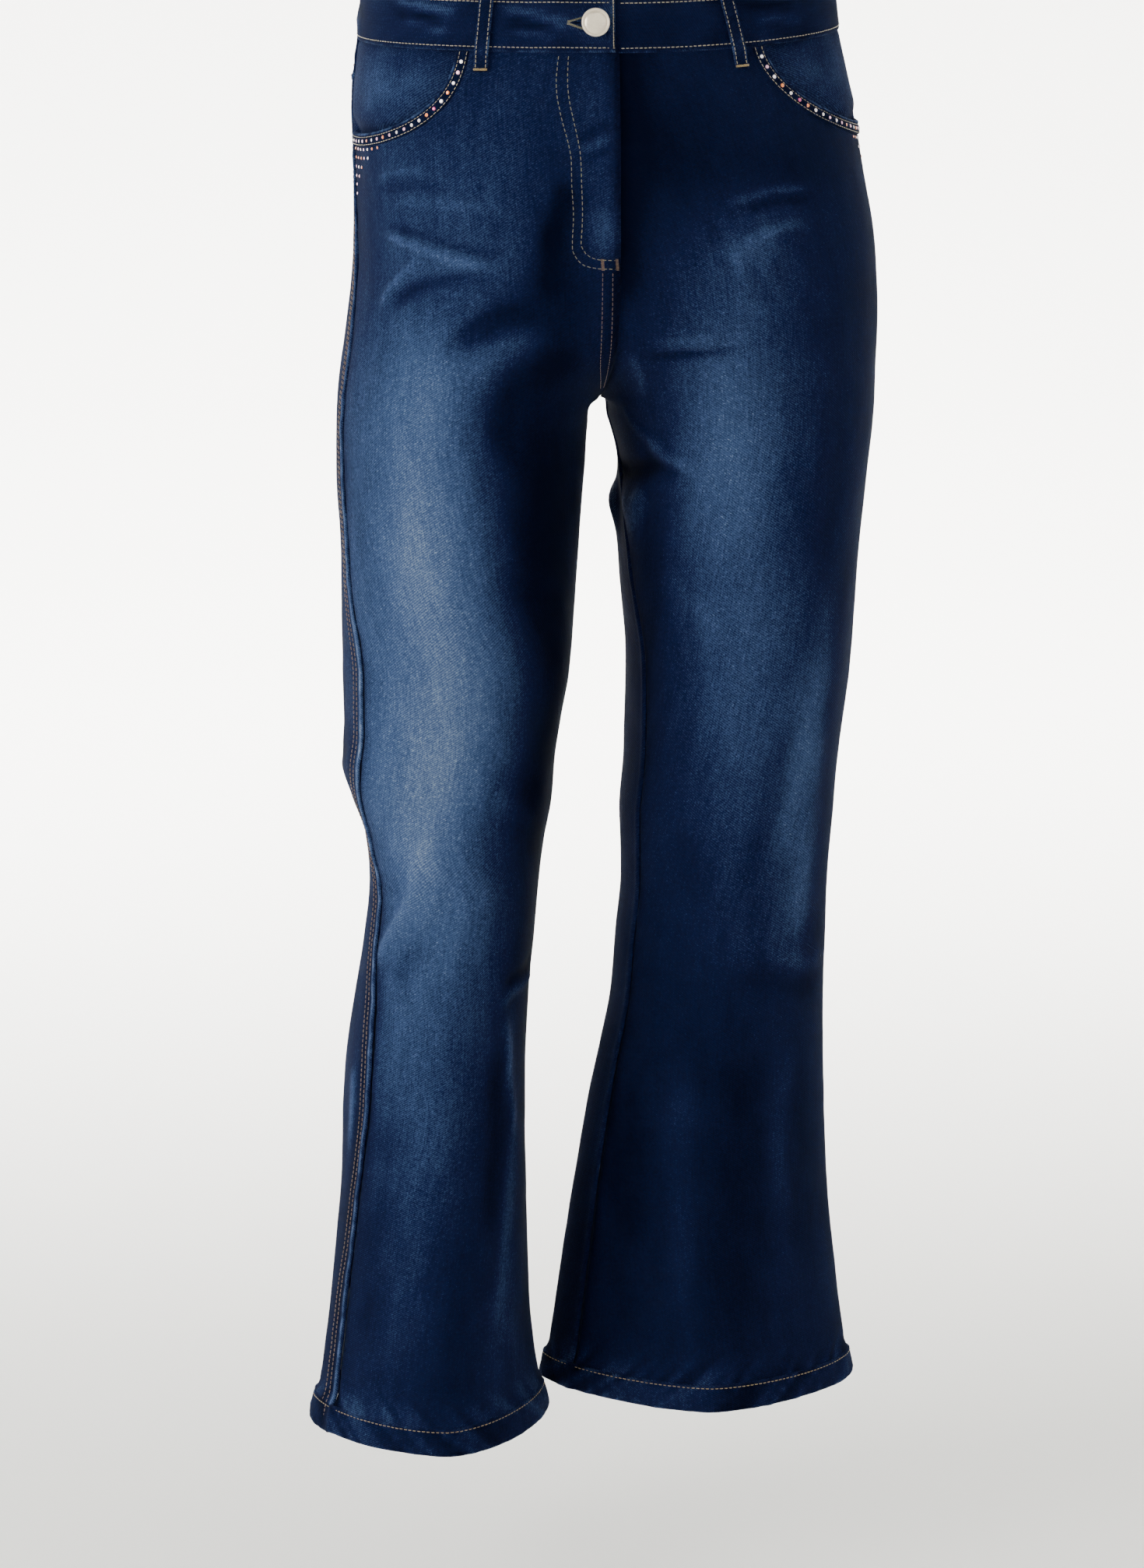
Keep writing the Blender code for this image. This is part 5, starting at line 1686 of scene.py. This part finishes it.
def sew_seat():
    """Twin rows beside the centre back seam and above each yoke seam."""
    sewn = Stitching("seat_and_yoke_stitches", "tobacco", "denim", 401)
    for distance in (3.4, 9.6):
        levels = np.arange(-WAIST_HALF - 3, -238, -1.5)
        across = inner_end("right", "back", levels) - distance
        out = THREAD_LIFT + over_yoke(across, levels, "right")
        cloth_row(sewn, "right", "back", across, levels, SEAM_PITCH, out)
    for side in SIDES:
        shares = np.linspace(0.006, 0.994, 160)
        for above in (3.0, 9.0):
            levels = yoke_level(shares) + above
            across = shares * inner_end(side, "back", levels)
            out = THREAD_LIFT + over_yoke(across, levels, side)
            cloth_row(sewn, side, "back", across, levels, SEAM_PITCH, out)
    return sewn.finish(0.75)


def over_yoke(across, levels, side):
    """How far the yoke lifts stitches above the back."""
    share = np.clip(across / ring_length(side, "back", levels), 0, 1)
    from_edge = levels - yoke_level(share)
    return np.where(from_edge > 0, yoke_lift(across, from_edge), 0.0)


def sew_hems(side):
    """One row of gold thread along the top of the hem, all round."""
    sewn = Stitching(f"hem_stitches_{side}", "gold", "denim", 501)
    top, bottom = HEM_TOP[side], HEM_BOTTOM[side]
    level = top + (bottom - top) * 0.12
    line, outs = [], []
    for panel, way in (("front", 1), ("back", -1)):
        shares = np.linspace(0, 1, 200)[::way]
        across = shares * ring_length(side, panel, level)
        levels = np.full(across.shape, level)
        line.append(smooth_surface(side, panel, across, levels, 3.55))
        outs.append(outward(side, panel, across, levels))
    sewn.row(np.vstack(line), np.vstack(outs), 3.2, 0.66)
    return sewn.finish(0.56)


def sew_pocket_band(side):
    """Cream rows along both sides of the pocket band."""
    sewn = Stitching(f"pocket_band_stitches_{side}", "cream", "band_denim", 601)
    for into, out, pitch in ((1.5, 1.15, 2.6), (6.3, 1.33, 2.8)):
        place, line = on_pocket_band(side, into, out, 1.5)
        normals = outward(side, "front", np.maximum(place[:, 0], 0.2), place[:, 1])
        sewn.row(line, normals, pitch)
    return sewn.finish(0.38)


def sew_back_pocket(side):
    """Twin rows round the patch and along its mouth."""
    sign = SIDES[side][1]
    sewn = Stitching(f"back_pocket_stitches_{side}", "tobacco", "denim", 701)
    whole = float(ring_length(side, "back", YOKE_CENTRE))

    def place(share, down):
        half = BACK_POCKET_WIDE / 2 * (1 - 0.1 * down)
        distance = BACK_POCKET_FROM_CENTRE + half * share
        top = yoke_level(1 - distance / whole) - BACK_POCKET_BELOW_YOKE
        return distance, top - (BACK_POCKET_TALL + BACK_POCKET_POINT * (1 - np.abs(share))) * down

    for inset in (2.6, 8.2):
        edge = 1 - inset / (BACK_POCKET_WIDE / 2)
        low = 1 - inset / BACK_POCKET_TALL
        shares = np.concatenate([np.full(60, -edge), np.linspace(-edge, edge, 80), np.full(60, edge)])
        downs = np.concatenate([np.linspace(0.01, low, 60), np.full(80, low), np.linspace(low, 0.01, 60)])
        distance, level = place(shares, downs)
        line = from_centre("back", sign * distance, level, DENIM + 0.75, folded=True)
        outs = outward(side, "back", ring_length(side, "back", level) - distance, level)
        sewn.row(line, outs, SEAM_PITCH)
    for drop in (3.4, 15.5):
        shares = np.linspace(-0.97, 0.97, 80)
        distance, level = place(shares, np.full(80, drop / BACK_POCKET_TALL))
        line = from_centre("back", sign * distance, level, DENIM + 1.9, folded=True)
        outs = outward(side, "back", ring_length(side, "back", level) - distance, level)
        sewn.row(line, outs, SEAM_PITCH)
    return sewn.finish(0.75)


def sew_waistband():
    """Cream rows along the waistband's top and bottom edges and its upper end, and the buttonhole."""
    sewn = Stitching("waistband_stitches", "cream", "band_denim", 801)
    for level, out in zip(BAND_ROWS, (1.32, 1.35)):
        line = band_row(level, out)
        sewn.row(line, band_row(level, out + 1) - line, WAIST_PITCH)
    out = BAND_OUT + LAP_OUT
    levels = np.linspace(14.0, -14.4, 40)
    across = ring_length("right", "front", levels) - 2.4
    line = smooth_surface("right", "front", across, levels, out + 1.95)
    sewn.row(line, outward("right", "front", across, levels), 1.7, 0.85)
    return [sewn.finish(0.5), sew_buttonhole()]


BUTTONHOLE = ((28.8, 0.25), (26.0, 1.15), (23.0, 2.1), (20.0, 2.9), (16.0, 3.1))


def sew_buttonhole():
    """Satin stitches round a slit that the button's shank pulls open, with a tack at its end."""
    sewn = Stitching("buttonhole_stitches", "olive", "band_denim", 805)
    whole = float(ring_length("right", "front", 0.0))
    out = BAND_OUT + LAP_OUT + 1.72
    distance, half = smooth_line(BUTTONHOLE, 22).T
    for way in (1, -1):
        across, level = whole - distance, way * half
        starts = smooth_surface("right", "front", across, level, out)
        ends = smooth_surface("right", "front", across - 0.45, level + way * 1.15, out)
        sewn.bars(starts, ends, outward("right", "front", across, level))
    level = np.linspace(-1.1, 1.1, 5)
    across = whole - 29.9 + 0 * level
    starts = smooth_surface("right", "front", across - 0.9, level, out)
    ends = smooth_surface("right", "front", across + 0.9, level, out)
    sewn.bars(starts, ends, outward("right", "front", across, level))
    # Through the slit shows the inner layer, in the darkest dye as painted shade inside the slit
    turn = np.linspace(0, 2 * math.pi, 8, endpoint=False)
    across = whole - distance[:, None] + 0 * turn
    level = half[:, None] * np.cos(turn)
    rings = smooth_surface("right", "front", across, level, out - 0.22 + 0.16 * np.sin(turn))
    grain = weave_at(across, level, 6900.0)
    inner = loft("buttonhole_inner_layer", rings, "band", grain, np.zeros(level.shape))
    return [sewn.finish(0.36), dressed(inner, None)]


def sew_belt_loops():
    """Two cream rows down each loop and a dense gold tack at its foot and top."""
    sewn = Stitching("belt_loop_stitches", "cream", "band_denim", 901)
    tacks = Stitching("belt_loop_tacks", "gold", "band_denim", 903)
    path = smooth_line(LOOP_PATH, 60)
    for loop in LOOPS:
        part = path[(path[:, 0] > LOOP_PATH[0][0] + 1.5)][:-10]
        for across in (-3.1, 3.1):
            line = loop_points(loop, part, np.array([[across]]), np.array([[1.05]]))[:, 0]
            above = loop_points(loop, part, np.array([[across]]), np.array([[2.05]]))[:, 0]
            sewn.row(line, above - line, 2.8)
        for level, out in ((-28.8, 2.0), (15.8, 3.6)):
            middle = loop.foot + (loop.top - loop.foot) * (level - LOOP_PATH[0][0]) / LOOP_TALL
            levels = level + np.linspace(-0.45, 0.45, 4)
            wide = LOOP_WIDE / 2 - 0.2
            starts = from_centre(loop.panel, middle - wide + 0 * levels, levels, out + 1.15)
            ends = from_centre(loop.panel, middle + wide + 0 * levels, levels + 0.15, out + 1.15)
            above = from_centre(loop.panel, middle - wide + 0 * levels, levels, out + 2.15)
            centre = from_centre(loop.panel, middle + 0 * levels, levels, out + 1.4)
            tacks.bars(starts, centre, above - starts)
            tacks.bars(centre, ends, above - starts)
    return [sewn.finish(0.4), tacks.finish(0.45)]


# ---------------------------------------------------------------- stage

CAMERA_AT = (-0.2718, -2.5858, 0.040)
CAMERA_HEADING = math.radians(5.629)
CAMERA_TILT = math.radians(11.787)
CAMERA_LENS = 92.234
SENSOR = 36.0
FLOOR_LEVEL = -1.06
# The cove's outline from its middle: radius, height above the floor, in metres
COVE = (
    (0.0, 0.0), (3.6, 0.0), (4.3, 0.06), (4.9, 0.28), (5.4, 0.7), (5.75, 1.3), (5.9, 2.1), (5.95, 3.6),
    (5.6, 4.6), (4.6, 5.3), (2.6, 5.7),
)
COVE_SIDES = 96


def build_camera():
    data = bpy.data.cameras.new("camera")
    made = bpy.data.objects.new("camera", data)
    bpy.context.scene.collection.objects.link(made)
    heading, tilt = CAMERA_HEADING, CAMERA_TILT
    ahead = Vector(
        (math.sin(heading) * math.cos(tilt), math.cos(heading) * math.cos(tilt), -math.sin(tilt))
    )
    right = Vector((math.cos(heading), -math.sin(heading), 0.0))
    up = right.cross(ahead)
    turn = Matrix((right, up, -ahead)).transposed()
    made.matrix_world = Matrix.Translation(CAMERA_AT) @ turn.to_4x4()
    data.sensor_fit = "VERTICAL"
    data.sensor_height = SENSOR
    data.lens = CAMERA_LENS
    data.clip_end = 50.0
    bpy.context.scene.camera = made
    return made


def add_area_light(name, place, aim, size, watts, colour):
    data = bpy.data.lights.new(name, "AREA")
    data.shape = "RECTANGLE"
    data.size, data.size_y = size
    data.energy = watts
    data.color = colour
    made = bpy.data.objects.new(name, data)
    bpy.context.scene.collection.objects.link(made)
    made.location = place
    made.rotation_euler = (Vector(aim) - Vector(place)).to_track_quat("-Z", "Y").to_euler()
    return made


def build_cove():
    turn = np.linspace(0, 2 * math.pi, COVE_SIDES, endpoint=False)
    outline = np.array(COVE)[1:]
    radius, height = outline[:, 0][:, None], outline[:, 1][:, None]
    rings = np.stack([radius * np.cos(turn), radius * np.sin(turn), height + 0 * turn], axis=-1)
    rings[..., 2] += FLOOR_LEVEL
    points = np.vstack([rings.reshape(-1, 3), [[0, 0, FLOOR_LEVEL]]]) / MM
    faces = grid_faces(len(outline), COVE_SIDES, closed_columns=True)[:, ::-1].tolist()
    middle = len(points) - 1
    faces += [[middle, i, (i + 1) % COVE_SIDES] for i in range(COVE_SIDES)]
    paint = matte_paint("pale_matte_studio_paint", settings()[2].floor)
    made = add_mesh("studio_cove", points, faces, [paint])
    return made


# ---------------------------------------------------------------- settings, operators and panel


def dye(name, description, digits):
    colour = hex_colour(digits)
    return FloatVectorProperty(name=name, description=description, subtype="COLOR", default=colour)


def watts(name, description, power):
    return FloatProperty(name=name, description=description, unit="POWER", default=power, min=0)


class JeansCloth(bpy.types.PropertyGroup):
    """Colours of the denim from the deepest dye to the most worn."""

    raw_indigo: dye("Raw indigo", "Where the dye hasn't worn at all", "030718")
    dark_indigo: dye("Dark indigo", "The darker cloth", "0f1733")
    mid_blue: dye("Mid blue", "The washed cloth", "394b6d")
    faded_blue: dye("Faded blue", "The most worn cloth", "92a2b1")


class JeansTrim(bpy.types.PropertyGroup):
    """Colours of the threads and the button."""

    cream_thread: dye("Cream thread", "Waistband, loops, pockets", "aa9f7e")
    tobacco_thread: dye("Tobacco thread", "Side seams and seat", "66492f")
    olive_thread: dye("Olive thread", "The fly and the buttonhole", "77714c")
    gold_thread: dye("Gold thread", "Hems and tacks", "8b7443")
    button: dye("Button", "Plated metal", "e6dac6")


class JeansStage(bpy.types.PropertyGroup):
    """The floor and the lights."""

    floor: dye("Floor", "Paint of the cove", "fafaf8")
    key_watts: watts("Key light", "From the viewer's left", 66.0)
    fill_watts: watts("Fill light", "From the viewer's right", 6.0)
    rear_watts: watts("Rear light", "From behind", 36.0)
    wall_watts: watts("Wall lights", "On the wall behind", 290.0)
    air: FloatProperty(name="Air", description="Light from all round", default=0.17, min=0)


class PieceOperator(bpy.types.Operator):
    """Adds pieces of the jeans"""

    bl_options = {"REGISTER", "UNDO"}


class JEANS_OT_fronts(PieceOperator):
    """Adds both front legs"""

    bl_idname = "jeans.fronts"
    bl_label = "Front legs"

    def execute(self, context):
        for side in SIDES:
            build_front(side)
        return {"FINISHED"}


class JEANS_OT_backs(PieceOperator):
    """Adds both back legs"""

    bl_idname = "jeans.backs"
    bl_label = "Back legs"

    def execute(self, context):
        for side in SIDES:
            build_back(side)
        return {"FINISHED"}


class JEANS_OT_yokes(PieceOperator):
    """Adds both back yokes"""

    bl_idname = "jeans.yokes"
    bl_label = "Yokes"

    def execute(self, context):
        for side in SIDES:
            build_yoke(side)
        return {"FINISHED"}


class JEANS_OT_hems(PieceOperator):
    """Adds the turned-up hems"""

    bl_idname = "jeans.hems"
    bl_label = "Hems"

    def execute(self, context):
        for side in SIDES:
            build_hem(side)
        return {"FINISHED"}


class JEANS_OT_front_pockets(PieceOperator):
    """Adds the hip pieces behind the pocket mouths and the bands along them"""

    bl_idname = "jeans.front_pockets"
    bl_label = "Front pockets"

    def execute(self, context):
        for side in SIDES:
            build_hip_piece(side)
            build_pocket_band(side)
        return {"FINISHED"}


class JEANS_OT_back_pockets(PieceOperator):
    """Adds the patch pockets on the seat"""

    bl_idname = "jeans.back_pockets"
    bl_label = "Back pockets"

    def execute(self, context):
        for side in SIDES:
            build_back_pocket(side)
        return {"FINISHED"}


class JEANS_OT_waist(PieceOperator):
    """Adds the waistband and the fly shield"""

    bl_idname = "jeans.waist"
    bl_label = "Waistband and fly shield"

    def execute(self, context):
        build_waistband()
        build_fly_shield()
        return {"FINISHED"}


class JEANS_OT_belt_loops(PieceOperator):
    """Adds the five belt loops"""

    bl_idname = "jeans.belt_loops"
    bl_label = "Belt loops"

    def execute(self, context):
        for loop in LOOPS:
            build_belt_loop(loop)
        return {"FINISHED"}


class JEANS_OT_button(PieceOperator):
    """Adds the shank button"""

    bl_idname = "jeans.button"
    bl_label = "Button"

    def execute(self, context):
        build_button()
        return {"FINISHED"}


class JEANS_OT_stitches(PieceOperator):
    """Adds every row of stitches and every tack"""

    bl_idname = "jeans.stitches"
    bl_label = "Stitches"

    def execute(self, context):
        for side in SIDES:
            sew_side_seams(side)
            sew_hems(side)
            sew_pocket_band(side)
            sew_back_pocket(side)
        sew_fly()
        sew_seat()
        sew_waistband()
        sew_belt_loops()
        return {"FINISHED"}


class JEANS_OT_stones(PieceOperator):
    """Adds the stones along the pocket bands and below them"""

    bl_idname = "jeans.stones"
    bl_label = "Stones"

    def execute(self, context):
        build_stones()
        return {"FINISHED"}


class JEANS_OT_stage(PieceOperator):
    """Adds the studio: camera, cove and lights"""

    bl_idname = "jeans.stage"
    bl_label = "Stage"

    def execute(self, context):
        stage = context.scene.jeans_stage
        build_camera()
        build_cove()
        white = (1.0, 0.98, 0.95)
        cool = (0.94, 0.97, 1.0)
        aim = (0, 0, -0.45)
        add_area_light("key_softbox", (-2.5, -1.5, 0.5), aim, (1.2, 2.0), stage.key_watts, white)
        add_area_light("fill_softbox", (2.4, -2.4, 0.9), aim, (1.6, 2.0), stage.fill_watts, cool)
        add_area_light("rear_softbox", (-1.6, 2.4, 1.2), aim, (1.6, 2.0), stage.rear_watts, cool)
        for side in (-1, 1):
            # These light only the floor and the wall behind
            place, wall_aim = (2.1 * side, 1.6, 2.6), (0.6 * side, 4.2, FLOOR_LEVEL)
            wall = add_area_light("wall_softbox", place, wall_aim, (1.6, 1.2), stage.wall_watts, white)
            wall.data.spread = math.radians(100)
        world = bpy.data.worlds.new("studio_air")
        context.scene.world = world
        world.use_nodes = True
        air = {"Color": (0.9, 0.93, 1.0, 1.0), "Strength": stage.air}
        set_inputs(world.node_tree, world.node_tree.nodes["Background"], air)
        return {"FINISHED"}


OPERATORS = (
    JEANS_OT_stage,
    JEANS_OT_fronts,
    JEANS_OT_backs,
    JEANS_OT_yokes,
    JEANS_OT_hems,
    JEANS_OT_front_pockets,
    JEANS_OT_back_pockets,
    JEANS_OT_waist,
    JEANS_OT_belt_loops,
    JEANS_OT_button,
    JEANS_OT_stitches,
    JEANS_OT_stones,
)
GROUPS = {"jeans_cloth": JeansCloth, "jeans_trim": JeansTrim, "jeans_stage": JeansStage}


class JEANS_PT_panel(bpy.types.Panel):
    """The pieces and settings of the jeans"""

    bl_idname = "JEANS_PT_panel"
    bl_label = "Wide leg jeans"
    bl_space_type = "VIEW_3D"
    bl_region_type = "UI"
    bl_category = "Jeans"

    def draw(self, context):
        for name, group in GROUPS.items():
            box = self.layout.box()
            for key in group.__annotations__:
                box.prop(getattr(context.scene, name), key)
        for operator in OPERATORS:
            self.layout.operator(operator.bl_idname)


CLASSES = (*GROUPS.values(), *OPERATORS, JEANS_PT_panel)


def register():
    for made in CLASSES:
        bpy.utils.register_class(made)
    for name, group in GROUPS.items():
        setattr(bpy.types.Scene, name, PointerProperty(type=group))


def unregister():
    for name in GROUPS:
        delattr(bpy.types.Scene, name)
    for made in reversed(CLASSES):
        bpy.utils.unregister_class(made)


def main():
    register()
    for operator in OPERATORS:
        area, name = operator.bl_idname.split(".")
        getattr(getattr(bpy.ops, area), name)()


if __name__ == "__main__":
    main()
